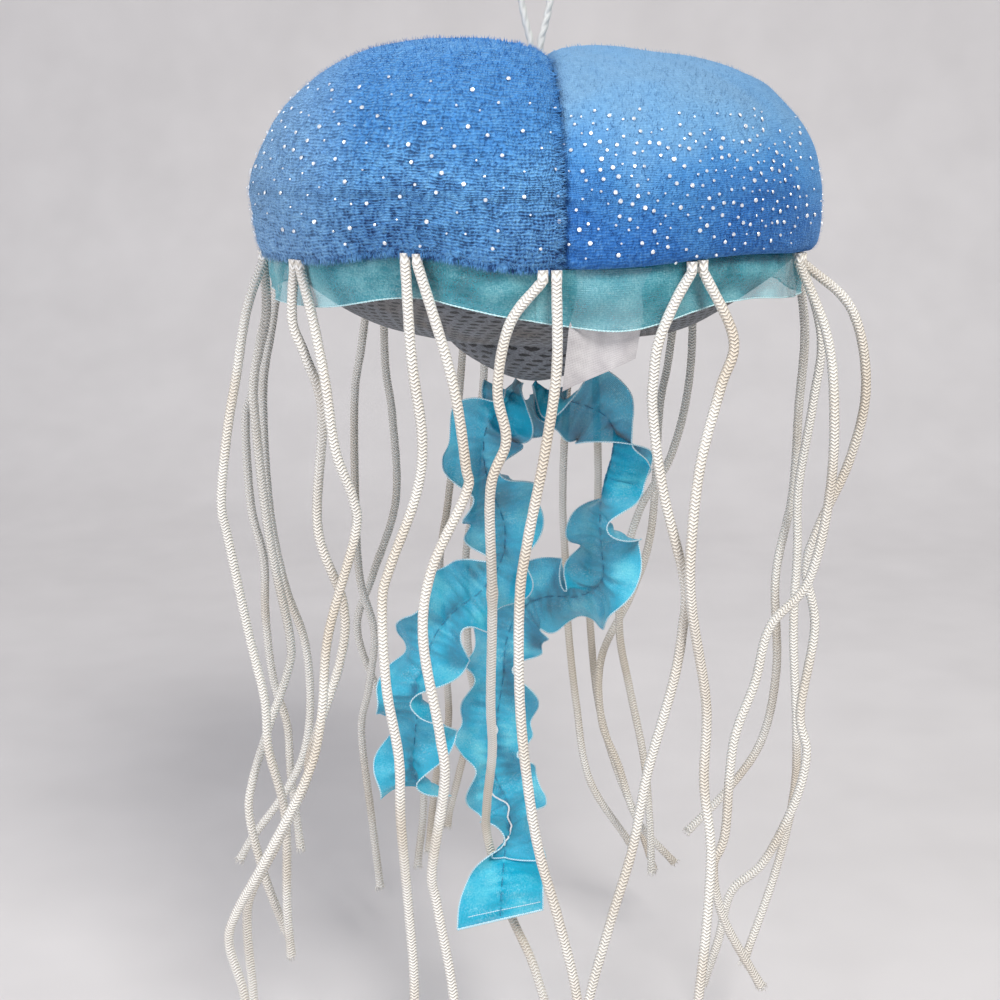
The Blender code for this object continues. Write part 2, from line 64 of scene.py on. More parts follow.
LOOP_CORD = 0.002
LOOP_SPREAD = 0.0043
LOOP_FOOT = 0.00135
RIM_RADIUS = 0.0778
BELL_RADIUS = 0.0802
WIDEST_HEIGHT = 0.0158
BELL_HEIGHT = 0.0515
SHOULDER = 0.42
CROWN = 1.26
SEAM_AZIMUTH = 5.0
SEAM_PINCH = 0.0016
PUFF_LEFT = 0.0044
PUFF_RIGHT = 0.0022
RIGHT_DROOP = 0.0023
CROWN_DIMPLE = 0.0020
DIMPLE_WIDTH = 0.013
CROWN_HOLE = 0.0030
WIDEST_CLIMB = 0.25
LIFT_LEFT = 0.0038
LIFT_LEFT_AZIMUTH = -24.0
LIFT_LEFT_WIDTH = 15.0
LIFT_RIGHT = 0.0020
LIFT_RIGHT_AZIMUTH = 42.0
LIFT_RIGHT_WIDTH = 20.0
LIFT_CLIMB = 0.45
LIFT_BELLY = 0.012
LIFT_CORD = 25
UNDERSIDE_DROP = 0.0380
CAP_RADIUS = 0.0265
CAP_SEAM_DROP = 0.0240
FRILL_DEPTH = 0.0118
FRILL_WIDTH = 0.0125
FRILL_DROOP = 0.0030
FRILL_DROOP_AZIMUTH = 19.0
FRILL_DROOP_WIDTH = 15.0
FRILL_WAVE = 0.0015
FRILL_CLOTH = 0.0005
LABEL_AZIMUTH = 15.0
LABEL_WIDTH = 0.0195
LABEL_LENGTH = 0.0260
LABEL_SLANT = 0.0070
LABEL_LEAN = 0.0030
LABEL_TUCK = 0.0026
LABEL_TWIST = 0.0030
LABEL_CLOTH = 0.0004
RIBBON_WIDTH = 0.0250
RUFFLE_PITCH = 0.0250
RUFFLE_SWING = 46.0
RUFFLE_OFFSET = 2.1
RUFFLE_LEAN = 14.0
RUFFLE_CURL = 12.0
RUFFLE_SCALLOP = 0.03
FLAT_END = 0.023
FLAT_SLANT = 0.0034
PUFF = 0.0040
TURN_UP = 0.0190
FULL_AFTER = 0.009
STREAMER_STEP = 0.0028
KNOT_WIDTH = 0.12
NECK_AT = 0.184
NECK_LENGTH = 0.007
NECK_PULL = 0.92
CORD = 0.0027
PAIR_GAP = 0.0006
CORD_LEAD = 0.0025
SWAY = 0.0045
SWAY_LENGTH = 21
SWAY_START = 60
STILL_AZIMUTH = 10
CLEARANCE = 0.0003
RIM_Z = -(LOOP_HEIGHT + BELL_HEIGHT - CROWN_DIMPLE)
CROWN_Z = RIM_Z + BELL_HEIGHT - CROWN_DIMPLE
TOP_CLIMB = WIDEST_CLIMB + 0.75 * (1 - (CROWN_HOLE / BELL_RADIUS) ** (1 / SHOULDER) * 2 / pi)
CORD_RADIUS = RIM_RADIUS + CLEARANCE - CORD / 2
FRILL_RADIUS = CORD_RADIUS - CORD / 2 - CLEARANCE - FRILL_CLOTH / 2
LABEL_RADIUS = FRILL_RADIUS - FRILL_CLOTH / 2 - CLEARANCE - LABEL_CLOTH / 2
UNDERSIDE_EDGE = LABEL_RADIUS - LABEL_CLOTH / 2 - CLEARANCE

# Routes of the tentacles, as (to the right, down, to the front) in millimetres from the cord's own root
TENTACLE_PAIRS = (
    # Rear, left of the middle
    (-165,
     ((0, 0, 0), (1, 41, 3), (0, 58, 3), (-3, 93, 3), (-6, 114, 3), (-5, 150, 3), (-3, 166, 3),
      (-8, 189, 3), (-13, 210, 3), (-14, 216, 3)),
     ((0, 0, 0), (-5, 59, -3), (-9, 94, -3), (-12, 116, -3), (-11, 146, -3), (-10, 176, -3),
      (-15, 199, -3), (-18, 227, -3))),
    # Rear left
    (-139,
     ((0, 0, 0), (-1, 42, -3), (1, 62, -3), (2, 90, -3), (-6, 115, -3), (-12, 134, -3), (-7, 156, -3),
      (2, 177, -3), (9, 198, -3), (7, 224, -3)),
     ((0, 0, 0), (-5, 36, 3), (-8, 54, 3), (-8, 89, 3), (-7, 114, 3), (-3, 134, 3), (-6, 156, 3),
      (-9, 172, 3), (-6, 202, 3), (-3, 227, 3))),
    # Left, behind the middle
    (-104,
     ((0, 0, 0), (-9, 27, -2), (-13, 47, -3), (-15, 55, -3), (-14, 81, -3), (-11, 99, -3), (-12, 119, -3),
      (-11, 141, -3), (-7, 157, -3), (-6, 173, -3), (-3, 197, -3)),
     ((0, 0, 0), (-4, 25, 2), (-7, 45, 3), (-6, 79, 3), (-3, 105, 3), (2, 125, 3), (3, 145, 3),
      (1, 161, 3), (-5, 174, 3), (-16, 189, 3), (-20, 196, 3))),
    # Left, before the middle
    (-78,
     ((0, 0, 0), (0, 18, -1), (-4, 35, -3), (-4, 48, -3), (-2, 83, -3), (2, 115, -3), (1, 126, -3),
      (-5, 143, -3), (-10, 159, -3), (-11, 170, -3), (-7, 189, -3), (-2, 208, -3)),
     ((0, 0, 0), (-5, 16, 1), (-8, 34, 3), (-11, 50, 3), (-14, 70, 3), (-13, 82, 3), (-9, 112, 3),
      (-5, 131, 3), (-4, 145, 3), (0, 160, 3), (1, 172, 3), (0, 195, 3), (0, 213, 3))),
    # Front left
    (-53,
     ((0, 0, 0), (-1, 16, -1), (2, 25, -2), (6, 40, -3), (3, 73, -3), (9, 95, -3), (8, 111, -3),
      (0, 135, -3), (-2, 145, -3), (-11, 164, -3), (-19, 180, -3), (-21, 192, -3), (-21, 214, -3),
      (-21, 227, -3)),
     ((0, 0, 0), (3, 15, 1), (6, 31, 2), (8, 49, 3), (12, 63, 3), (12, 73, 3), (4, 101, 3), (2, 123, 3),
      (-2, 139, 3), (-15, 165, 3), (-24, 182, 3), (-27, 193, 3), (-24, 210, 3), (-23, 225, 3))),
    # Front, left of the middle
    (-23,
     ((0, 0, 0), (1, 22, -1), (3, 43, -2), (1, 58, -2), (-6, 77, -2), (-8, 86, -2), (-7, 107, -2),
      (-4, 126, -2), (-4, 144, -2), (-3, 172, -2), (-2, 198, -2), (-3, 225, -2)),
     ((0, 0, 0), (8, 27, 1), (11, 49, 2), (11, 56, 2), (2, 76, 2), (0, 93, 2), (4, 117, 2), (5, 131, 2),
      (1, 158, 2), (2, 169, 2), (6, 196, 2), (8, 222, 2))),
    # Front middle
    (2.5,
     ((0, 0, 0), (-8, 13, -1), (-11, 29, -3), (-9, 42, -4), (-13, 55, -5), (-13, 87, -16),
      (-14, 119, -28), (-14, 139, -39), (-16, 160, -50), (-16, 174, -56), (-10, 197, -56), (-3, 212, -52),
      (2, 226, -46)),
     ((0, 0, 0), (0, 24, 1), (-3, 45, 2), (-7, 66, 2), (-9, 81, 2), (-9, 108, 2), (-7, 131, 2),
      (-4, 150, 2), (1, 169, 2), (6, 192, 2), (8, 220, 2))),
    # Front right
    (31,
     ((0, 0, 0), (-4, 9, 2), (-8, 18, 4), (-9, 26, 3), (-9, 36, 1), (-6, 56, -3), (0, 80, -4),
      (0, 93, -4), (-2, 109, -3), (-8, 135, -2), (-12, 157, -2), (-18, 177, -2), (-24, 201, -2),
      (-25, 228, -2)),
     ((0, 0, 0), (8, 18, 1), (5, 30, 1), (0, 49, 2), (-2, 71, 3), (-1, 87, 3), (4, 115, 2), (4, 137, 2),
      (6, 155, 2), (5, 175, 2), (3, 199, 2), (2, 226, 2))),
    # Right, before the middle
    (67,
     ((0, 0, 0), (8, 22, 2), (10, 44, 4), (10, 68, 4), (6, 91, 4), (-4, 104, 4), (-8, 120, 4),
      (-14, 137, 4), (-16, 163, 4), (-19, 174, 4), (-15, 192, 4), (-3, 216, 4)),
     ((0, 0, 0), (14, 15, -1), (19, 36, -3), (16, 57, -3), (9, 77, -3), (6, 90, -3), (9, 107, -3),
      (5, 131, -3), (7, 143, -3), (4, 158, -3), (-4, 178, -3), (-13, 189, -3), (-16, 207, -3),
      (-20, 222, -3))),
    # Right, behind the middle
    (97,
     ((0, 0, 0), (7, 26, 2), (6, 46, 3), (3, 73, 3), (3, 92, 3), (2, 116, 3), (4, 147, 3), (5, 171, 3),
      (1, 199, 3), (-9, 230, 3)),
     ((0, 0, 0), (4, 26, -2), (4, 50, -3), (3, 77, -3), (-2, 102, -3), (-1, 131, -3), (-4, 156, -3),
      (-13, 174, -3), (-26, 190, -3))),
    # Rear right
    (140,
     ((0, 0, 0), (0, 45, 3), (-6, 72, 3), (-16, 90, 3), (-21, 111, 3), (-22, 135, 3), (-18, 157, 3),
      (-13, 181, 3), (-11, 201, 3), (-10, 221, 3)),
     ((0, 0, 0), (-4, 42, -3), (-7, 59, -3), (-9, 100, -3), (-15, 124, -3), (-25, 148, -3),
      (-25, 170, -3), (-19, 186, -3), (-12, 206, -3), (1, 222, -3))),
    # Rear, right of the middle
    (168,
     ((0, 0, 0), (3, 59, -3), (4, 94, -3), (1, 116, -3), (2, 142, -3), (5, 169, -3), (12, 194, -3),
      (20, 215, -3), (26, 235, -3)),
     ((0, 0, 0), (-4, 58, 3), (-5, 93, 3), (-4, 114, 3), (-3, 138, 3), (0, 166, 3), (5, 195, 3),
      (20, 222, 3))),
)

# Routes of the streamers' gathering threads, in millimetres from the tip of the underside, and how each
# half of the ribbon stands there: (to the right, down, to the front, angle of one half, angle of the other).
# Looking down along the thread, 0 degrees is to the right, 90 to the front and 180 to the left.
LONG_STREAMER = (
    (-0.5, 0.9, 0, 90, 200),
    (7, 6, 0, 70, 185),
    (16, 9, 0, 35, 180),
    (22, 13, 1, 10, 150),
    (22.5, 22, 1, 5, 75),
    (20, 32, 0, 25, -30),
    (19, 44, -1, 25, -70),
    (20, 55, -3, 10, -150),
    (20, 64, -6, 0, -175),
    (13, 70, -10, -10, -180),
    (4, 71, -14, -10, -180),
    (-4, 75, -15, 0, -175),
    (-9, 84, -12, 10, -170),
    (-10, 95, -7, 20, -165),
    (-12, 107, 0, 0, -180),
    (-13, 120, 5, -10, -190),
    (-8, 131, 11, 0, -180),
    (-9, 139, 21, 10, -175),
    (-10, 147, 28, 5, -175),
    (-10.5, 157, 32, 0, -180),
)
SHORT_STREAMER = (
    (-4.5, 0.6, 1, 0, 120),
    (-10, 9, 3, -5, 165),
    (-14.5, 14, 5, 0, 190),
    (-15, 24, 7, 10, 175),
    (-12, 34, 8, 10, 170),
    (-9, 43, 8, 5, 180),
    (-10, 53, 9, 0, 170),
    (-16, 61, 13, -10, 165),
    (-24, 66, 17, 10, 190),
    (-30, 74, 19, 30, 205),
    (-33.5, 85, 20, 40, 215),
    (-35, 97, 20, 35, 215),
    (-36, 109, 19, 30, 205),
    (-35.5, 121, 18, 20, 200),
)


def eased(x):
    x = min(1.0, max(0.0, x))
    return x * x * (3 - 2 * x)


def degrees_of(turn):
    return turn * 180 / pi


def on_ring(azimuth, radius, z):
    return Vector((radius * sin(radians(azimuth)), -radius * cos(radians(azimuth)), z))


def smooth_route(points, step):
    """Even points along a smooth curve through the given ones."""
    ends = [points[0] * 2 - points[1], *points, points[-1] * 2 - points[-2]]
    fine = []
    for a, b, c, d in zip(ends, ends[1:], ends[2:], ends[3:]):
        for k in range(16):
            t = k / 16
            square, cube = 2 * a - 5 * b + 4 * c - d, 3 * b - a - 3 * c + d
            fine.append(0.5 * (2 * b + (c - a) * t + square * t * t + cube * t**3))
    fine.append(points[-1].copy())
    lengths = [0.0]
    for a, b in zip(fine, fine[1:]):
        lengths.append(lengths[-1] + (b - a).length)
    count = max(2, ceil(lengths[-1] / step))
    even, k = [], 0
    for n in range(count + 1):
        wanted = lengths[-1] * n / count
        while k < len(fine) - 2 and lengths[k + 1] < wanted:
            k += 1
        share = (wanted - lengths[k]) / (lengths[k + 1] - lengths[k])
        even.append(fine[k].lerp(fine[k + 1], share))
    return even


def rim_lift(azimuth):
    """How much higher the rim is at an azimuth than at its lowest."""
    left = ((azimuth - LIFT_LEFT_AZIMUTH + 180) % 360 - 180) / LIFT_LEFT_WIDTH
    right = ((azimuth - LIFT_RIGHT_AZIMUTH + 180) % 360 - 180) / LIFT_RIGHT_WIDTH
    return LIFT_LEFT * exp(-left * left) + LIFT_RIGHT * exp(-right * right)


def length_of(points):
    return sum((b - a).length for a, b in zip(points, points[1:]))


# Node materials


def colour(code):
    """An sRGB hex value as a linear colour."""
    parts = [int(code[k : k + 2], 16) / 255 for k in (1, 3, 5)]
    return (*[c / 12.92 if c <= 0.04045 else ((c + 0.055) / 1.055) ** 2.4 for c in parts], 1.0)


def add_node(tree, kind, inputs=(), stops=(), **settings):
    """A shader node with its settings, its colour stops, and values and links by name or in their order.
    What comes back is its first output in use."""
    fresh = tree.nodes.new("ShaderNode" + kind)
    for key, value in settings.items():
        setattr(fresh, key, value)
    if stops:
        band = fresh.color_ramp
        while len(band.elements) < len(stops):
            band.elements.new(0.5)
        for element, (place, code) in zip(band.elements, stops):
            element.position = place
            element.color = colour(code)
    for socket, value in inputs.items() if isinstance(inputs, dict) else enumerate(inputs):
        if isinstance(value, bpy.types.NodeSocket):
            tree.links.new(value, fresh.inputs[socket])
        else:
            fresh.inputs[socket].default_value = value
    return next(output for output in fresh.outputs if output.enabled)


def new_material(name, **values):
    """A Principled material, with the values that are the same all over it on the shader itself, its own way
    to add a node, and its shader."""
    material = bpy.data.materials.new(name)
    material.use_nodes = True
    shader = material.node_tree.nodes["Principled BSDF"]
    for key, value in values.items():
        shader.inputs[key.replace("_", " ")].default_value = value
    return material, partial(add_node, material.node_tree), shader


def finish(shader, node, tint, height, depth):
    """Gives a shader its pattern of colour, and relief from a height, with its depth in metres."""
    links = shader.id_data.links
    links.new(tint, shader.inputs["Base Color"])
    links.new(node("Bump", {"Height": height, "Distance": depth}), shader.inputs["Normal"])


def object_noise(node, size_mm, detail, stretch=(1, 1, 1)):
    """Noise whose grain has about this size in millimetres, in the object's own coordinates."""
    place = node("TexCoord").node.outputs["Object"]
    scaled = node("Mapping", {"Vector": place, "Scale": stretch})
    grain = {"Vector": scaled, "Scale": 1000 / size_mm, "Detail": detail, "Roughness": 0.6}
    return node("TexNoise", grain)


def cloth_directions(node):
    """The piece's own two directions over its surface, in millimetres."""
    first = node("SeparateXYZ", {"Vector": node("UVMap", uv_map="cloth_mm")})
    return first, first.node.outputs["Y"]


def ripple(node, value, pitch):
    """A sine of this pitch over a length in millimetres, from -1 to 1."""
    turn = node("Math", (value, 2 * pi / pitch), operation="MULTIPLY")
    return node("Math", (turn,), operation="SINE")


def velour_fabric(name, upright):
    """Polyester velour knit: an upright nap shows its knitted rows, with painted shade in the gaps between
    tufts and painted highlights on the tufts, and one that is brushed flat is smoother, with painted light
    that makes it pale at the top where it faces the light, and deep blue lower down. Its rows are drawn at
    1.25 to 1.55 mm, a little coarser than a real knit's, so that they show."""
    material, node, shader = new_material(name, Roughness=0.85, Sheen_Weight=0.55, Sheen_Roughness=0.4)
    shader.inputs["Sheen Tint"].default_value = colour("#8FC4F5")
    shader.inputs["Specular IOR Level"].default_value = 0.2
    around, up = cloth_directions(node)
    place = node("SeparateXYZ", {"Vector": node("TexCoord").node.outputs["Object"]}).node.outputs
    pitch = 1.55 if upright else 1.25
    tufts = object_noise(node, 1.9, 3.0, (0.7, 0.7, 1.3)) if upright else object_noise(node, 1.15, 2.0)
    bent = node("Math", (object_noise(node, 7.0, 2.0), 4.5, up), operation="MULTIPLY_ADD")
    rows = ripple(node, bent, pitch)
    stagger = node("Math", (object_noise(node, 2.6, 1.0), 3.4, around), operation="MULTIPLY_ADD")
    loops = ripple(node, stagger, pitch * 0.92)
    knit = node("Math", (loops, 0.27), operation="MULTIPLY")
    knit = node("Math", (rows, 0.33, knit), operation="MULTIPLY_ADD")
    uneven = node("Math", (tufts, 0.5), operation="SUBTRACT")
    knit = node("Math", (uneven, 3.6, knit), operation="MULTIPLY_ADD")
    # Painted light: the colour follows the height on the bell, mixed with random patches of tone. The brushed
    # gores are painted pale at the top, where they face the light. The upright ones are drawn a little darker
    # towards the top.
    height = node("MapRange", {"Value": place["Z"], "From Min": RIM_Z + 0.006, "From Max": RIM_Z + 0.048})
    patches = node("Math", (object_noise(node, 26.0, 2.0), 0.5), operation="SUBTRACT")
    painted_light_and_patches = node("Math", (patches, 1.2, height), operation="MULTIPLY_ADD")
    if upright:
        tints = ((0.0, "#6098C9"), (0.3, "#64A2D4"), (0.65, "#4A8CC8"), (1.0, "#4485C4"))
        # Painted sheen: towards its outer side an upright gore is painted paler and its knit shade fainter,
        # as velour brightens at its outline.
        painted_edge_sheen = node("MapRange", {"Value": place["X"], "From Min": -0.042, "From Max": -0.080})
        sides = {"Factor": painted_edge_sheen, "A": node("ValToRGB", (painted_light_and_patches,), tints), "B": colour("#9FC4E2")}
        ground = node("Mix", sides, data_type="RGBA")
        knit_shade_strength = node("Math", (painted_light_and_patches, -0.52, 0.92), operation="MULTIPLY_ADD")
        knit_shade_strength = node("Math", (painted_edge_sheen, -0.35, knit_shade_strength), operation="MULTIPLY_ADD")
    else:
        tints = ((0.05, "#2F6CB0"), (0.38, "#4685BF"), (0.68, "#6799C4"), (1.0, "#6D96BA"))
        ground = node("ValToRGB", (painted_light_and_patches,), tints)
        knit_shade_strength = node("Math", (painted_light_and_patches, -0.32, 0.42), operation="MULTIPLY_ADD")
    # Painted shade and highlights: the knit's gaps are drawn dark and its tufts pale, multiplied over the
    # ground, more strongly lower down and away from the painted sheen.
    painted_gap_shade = (0.33, "#3A4C78") if upright else (0.24, "#6B80AC")
    tone = node("Math", (knit, 0.25, 0.5), operation="MULTIPLY_ADD")
    painted_knit_shading = node("ValToRGB", (tone,), (painted_gap_shade, (0.45, "#CBD8EE"), (0.60, "#F4F8FF"), (0.85, "#FFFFFF")))
    painted_pile_shade = {"Factor": knit_shade_strength, "A": ground, "B": painted_knit_shading}
    painted_pile_shade = node("Mix", painted_pile_shade, data_type="RGBA", blend_type="MULTIPLY")
    # Painted highlight: a pale blue is screened over the raised tufts.
    raised = node("Math", (knit, 0.0), operation="MAXIMUM")
    raised = node("Math", (raised, 0.16), operation="MULTIPLY")
    painted_tuft_highlight = {"Factor": raised, "A": painted_pile_shade, "B": colour("#8DBBEE")}
    painted_tuft_highlight = node("Mix", painted_tuft_highlight, data_type="RGBA", blend_type="SCREEN")
    finish(shader, node, painted_tuft_highlight, knit, 0.00042 if upright else 0.00013)
    return material


def printed_plush():
    """Short plush with a printed ground of dark oval dashes in staggered rows on grey."""
    material, node, shader = new_material("printed_short_plush", Roughness=0.9, Sheen_Weight=0.2)
    around, out = cloth_directions(node)
    bend = node("Math", (object_noise(node, 9.0, 2.0), 2.2), operation="MULTIPLY")
    row = node("Math", (out, bend), operation="ADD")
    row = node("Math", (row, 2.3), operation="DIVIDE")
    column = node("Math", (around, bend), operation="ADD")
    column = node("Math", (column, 4.1), operation="DIVIDE")
    level = node("Math", (row,), operation="FLOOR")
    column = node("Math", (level, 0.37, column), operation="MULTIPLY_ADD")
    oval = node("Math", (object_noise(node, 1.6, 2.0), 1.5), operation="MULTIPLY")
    for cells, share in ((column, 2.9), (row, 3.6)):
        off = node("Math", (cells,), operation="FRACT")
        off = node("Math", (off, 0.5), operation="SUBTRACT")
        off = node("Math", (off, share), operation="MULTIPLY")
        oval = node("Math", (off, off, oval), operation="MULTIPLY_ADD")
    ink = node("MapRange", {"Value": oval, "From Min": 1.45, "From Max": 1.75})
    # The greys are the cloth's own grey, drawn darker as painted shade, since the underside hangs in shade
    # below the bell.
    greys = ((0.3, "#62666E"), (0.5, "#7C8088"), (0.7, "#6E6763"))
    ground = node("ValToRGB", (object_noise(node, 22.0, 2.0),), greys)
    cloth = node("Mix", {"Factor": ink, "A": colour("#26262B"), "B": ground}, data_type="RGBA")
    # Painted shade: the pile's fine noise darkens the print in small flecks.
    pile = object_noise(node, 0.7, 3.0)
    shade = node("ValToRGB", (pile,), ((0.3, "#9A9A9A"), (0.6, "#FFFFFF")))
    painted_pile_shade = {"Factor": 0.8, "A": cloth, "B": shade}
    painted_pile_shade = node("Mix", painted_pile_shade, data_type="RGBA", blend_type="MULTIPLY")
    finish(shader, node, painted_pile_shade, pile, 0.0005)
    return material


def organza(name, deep, middle, pale, see_through, gathered=False):
    """Sheer woven polyester: fine crossed threads, with painted glints where they cross in patches of
    painted shine, and a fine painted sparkle in its tone. Where a ribbon is gathered, painted shade draws
    the cloth darker along its thread, in narrow pleats that run outwards. The threads are drawn 0.45 mm
    apart, about twice the real spacing, so that they show."""
    material, node, shader = new_material(name, Roughness=0.24, Alpha=see_through)
    shader.inputs["Specular IOR Level"].default_value = 0.5
    along, across = cloth_directions(node)
    weft = node("Math", (ripple(node, across, 0.45), 0.5), operation="MULTIPLY")
    weave = node("Math", (ripple(node, along, 0.45), 0.5, weft), operation="MULTIPLY_ADD")
    # Painted sparkle: a fine noise lightens and darkens the cloth's tone in tiny glints. The same noise also
    # raises the relief.
    glints = object_noise(node, 0.5, 2.0)
    painted_sparkle = node("Math", (glints, 0.5), operation="SUBTRACT")
    tone = node("Math", (painted_sparkle, 0.55, object_noise(node, 11.0, 1.0)), operation="MULTIPLY_ADD")
    if gathered:
        # Painted shade: the cloth is drawn darker along the gathering thread, in pleats that run outwards.
        apart = node("Math", (across, RIBBON_WIDTH * 500), operation="SUBTRACT")
        apart = node("Math", (apart,), operation="ABSOLUTE")
        near = {"Value": apart, "From Min": 0.0, "From Max": 5.0, "To Min": 0.20, "To Max": 0.0}
        near = node("MapRange", near)
        rays = node("Math", (ripple(node, along, 4.6), 0.5, 0.9), operation="MULTIPLY_ADD")
        shade = node("Math", (near, rays), operation="MULTIPLY")
        tone = node("Math", (tone, shade), operation="SUBTRACT")
    cloth = node("ValToRGB", (tone,), ((0.16, deep), (0.46, middle), (0.78, pale)))
    # Painted glints: a pale cyan is screened over the cloth where fine crossings meet patches of painted
    # shine.
    crossings = object_noise(node, 0.55, 1.0)
    crossings = node("ValToRGB", (crossings,), ((0.50, "#000000"), (0.70, "#D8D8D8")))
    painted_shine_patches = object_noise(node, 7.5, 1.0, (0.7, 0.7, 1.3))
    painted_shine_patches = node("ValToRGB", (painted_shine_patches,), ((0.50, "#000000"), (0.66, "#ACACAC")))
    painted_glint_mask = node("Math", (crossings, painted_shine_patches), operation="MULTIPLY")
    painted_glints = {"Factor": painted_glint_mask, "A": cloth, "B": colour("#BFF1F8")}
    painted_glints = node("Mix", painted_glints, data_type="RGBA", blend_type="SCREEN")
    height = node("Math", (glints, 1.6, weave), operation="MULTIPLY_ADD")
    finish(shader, node, painted_glints, height, 0.00007)
    return material


def braided_cord():
    """Braided satin cord: a herringbone of filament bundles, ivory, with painted highlights on the
    bundles and painted shade in its grooves, and tanned in places by handling."""
    material, node, shader = new_material("braided_satin_cord", Roughness=0.46, Sheen_Weight=0.15)
    around, along = cloth_directions(node)
    columns = node("Math", (around, pi * CORD * 1000 / 4), operation="DIVIDE")
    columns = node("Math", (columns,), operation="FRACT")
    fold = node("Math", (columns, 0.5), operation="SUBTRACT")
    fold = node("Math", (fold,), operation="ABSOLUTE")
    chevron = node("Math", (fold, 1.15, along), operation="MULTIPLY_ADD")
    groove = node("Math", (fold, 0.25), operation="SUBTRACT")
    groove = node("Math", (groove,), operation="ABSOLUTE")
    height = node("Math", (groove, -1.3, ripple(node, chevron, 0.95)), operation="MULTIPLY_ADD")
    # Painted shade and highlights: the relief's height also sets the colour, grey in the grooves and
    # near-white on the ridges.
    tone = node("Math", (height, 0.25, 0.6), operation="MULTIPLY_ADD")
    cloth = node("ValToRGB", (tone,), ((0.12, "#B9B0A3"), (0.42, "#EAE5DC"), (0.78, "#FFFDF9")))
    handled = node("ValToRGB", (object_noise(node, 34.0, 1.0),), ((0.46, "#000000"), (0.68, "#C0C0C0")))
    tan = {"Factor": handled, "A": cloth, "B": colour("#D2BFA6")}
    tan = node("Mix", tan, data_type="RGBA", blend_type="MULTIPLY")
    finish(shader, node, tan, height, 0.00020)
    return material


def twisted_cord():
    """Rayon cord of two plies: glossy, with a lay of filaments along each ply. The filaments are drawn as
    bundles 0.55 mm apart, because single ones are too fine to show."""
    material, node, shader = new_material("twisted_rayon_cord", Roughness=0.24, Sheen_Weight=0.1)
    around, along = cloth_directions(node)
    lay = ripple(node, node("Math", (around, 1.2, along), operation="MULTIPLY_ADD"), 0.55)
    # Painted shade and highlights: each bundle is drawn white on its crest and grey between bundles.
    tone = node("Math", (lay, 0.3, 0.5), operation="MULTIPLY_ADD")
    tint = node("ValToRGB", (tone,), ((0.1, "#A5A49E"), (0.55, "#EFEEE9"), (0.95, "#FFFFFF")))
    finish(shader, node, tint, lay, 0.00008)
    return material


def satin_tape():
    """Woven satin tape: a close weave with a soft shine, bare of any print. Its threads are drawn about
    0.5 mm apart, coarser than the real ones, so that they show."""
    material, node, shader = new_material("white_satin_tape", Roughness=0.4, Sheen_Weight=0.1)
    along, across = cloth_directions(node)
    weave = node("Math", (ripple(node, along, 0.45), ripple(node, across, 0.6)), operation="ADD")
    tone = node("Math", (weave, 0.035, object_noise(node, 6.0, 2.0)), operation="MULTIPLY_ADD")
    # The white tape is drawn light grey all over: painted shade, as it hangs in shade under the rim.
    tint = node("ValToRGB", (tone,), ((0.3, "#ADA9AD"), (0.7, "#CBC8CA")))
    finish(shader, node, tint, weave, 0.000020)
    return material


def plain_thread(name, dark, light, roughness=0.4):
    """Sewing thread and corded edges: a fine twist, painted dark and light along its turns as painted shade
    and painted glints, drawn at 0.7 mm so that it shows.
    """
    material, node, shader = new_material(name, Roughness=roughness)
    around, along = cloth_directions(node)
    twist = ripple(node, node("Math", (along, around), operation="ADD"), 0.7)
    # Painted shade and glints: the twist is drawn dark in its hollows and light on its turns.
    tone = node("Math", (twist, 0.35, 0.5), operation="MULTIPLY_ADD")
    finish(shader, node, node("ValToRGB", (tone,), ((0.15, dark), (0.85, light))), twist, 0.00005)
    return material


def silver_foil():
    """Hot-stamped foil dots: bright metal, slightly crinkled."""
    material, node, shader = new_material("silver_foil", Metallic=0.6, Roughness=0.34)
    crinkle = object_noise(node, 0.4, 2.0)
    tint = node("ValToRGB", (crinkle,), ((0.3, "#F0F5FA"), (0.7, "#FFFFFF")))
    finish(shader, node, tint, crinkle, 0.00008)
    return material


def fibre_filling():
    """Loose polyester fibre, matt and white, hidden in the bell."""
    material, node, shader = new_material("polyester_fibre", Roughness=0.95, Sheen_Weight=0.3)
    tangle = object_noise(node, 1.2, 4.0)
    tint = node("ValToRGB", (tangle,), ((0.3, "#CFCFCB"), (0.7, "#F2F2EE")))
    finish(shader, node, tint, tangle, 0.0006)
    return material


# Making pieces


def link_piece(name, shape, material, sharp=None):
    mesh = bpy.data.meshes.new(name)
    shape.to_mesh(mesh)
    shape.free()
    mesh.shade_smooth()
    if sharp:
        mesh.set_sharp_from_angle(angle=radians(sharp))
    mesh.materials.append(material)
    piece = bpy.data.objects.new(name, mesh)
    bpy.context.scene.collection.objects.link(piece)
    return piece


def laid_grid(shape, place, columns, rows, size_mm, closed=False):
    """A grid laid out by place(u, v), with its own directions kept in millimetres for the weave."""
    before = set(shape.verts)
    bmesh.ops.create_grid(shape, x_segments=columns, y_segments=rows, size=0.5)
    fresh = [vertex for vertex in shape.verts if vertex not in before]
    layer = shape.loops.layers.uv.get("cloth_mm") or shape.loops.layers.uv.new("cloth_mm")
    for vertex in fresh:
        u, v = vertex.co.x + 0.5, vertex.co.y + 0.5
        for loop in vertex.link_loops:
            loop[layer].uv = (u * size_mm[0], v * size_mm[1])
        vertex.co = place(u, v)
    if closed:
        bmesh.ops.remove_doubles(shape, verts=fresh, dist=1e-6)
    return shape


def cloth(name, place, columns, rows, size_mm, material, closed=False, thickness=0.0, sharp=None):
    shape = laid_grid(bmesh.new(), place, columns, rows, size_mm, closed)
    piece = link_piece(name, shape, material, sharp)
    if thickness:
        wall = piece.modifiers.new("thickness", "SOLIDIFY")
        wall.thickness = thickness
        wall.offset = -1.0
    return piece


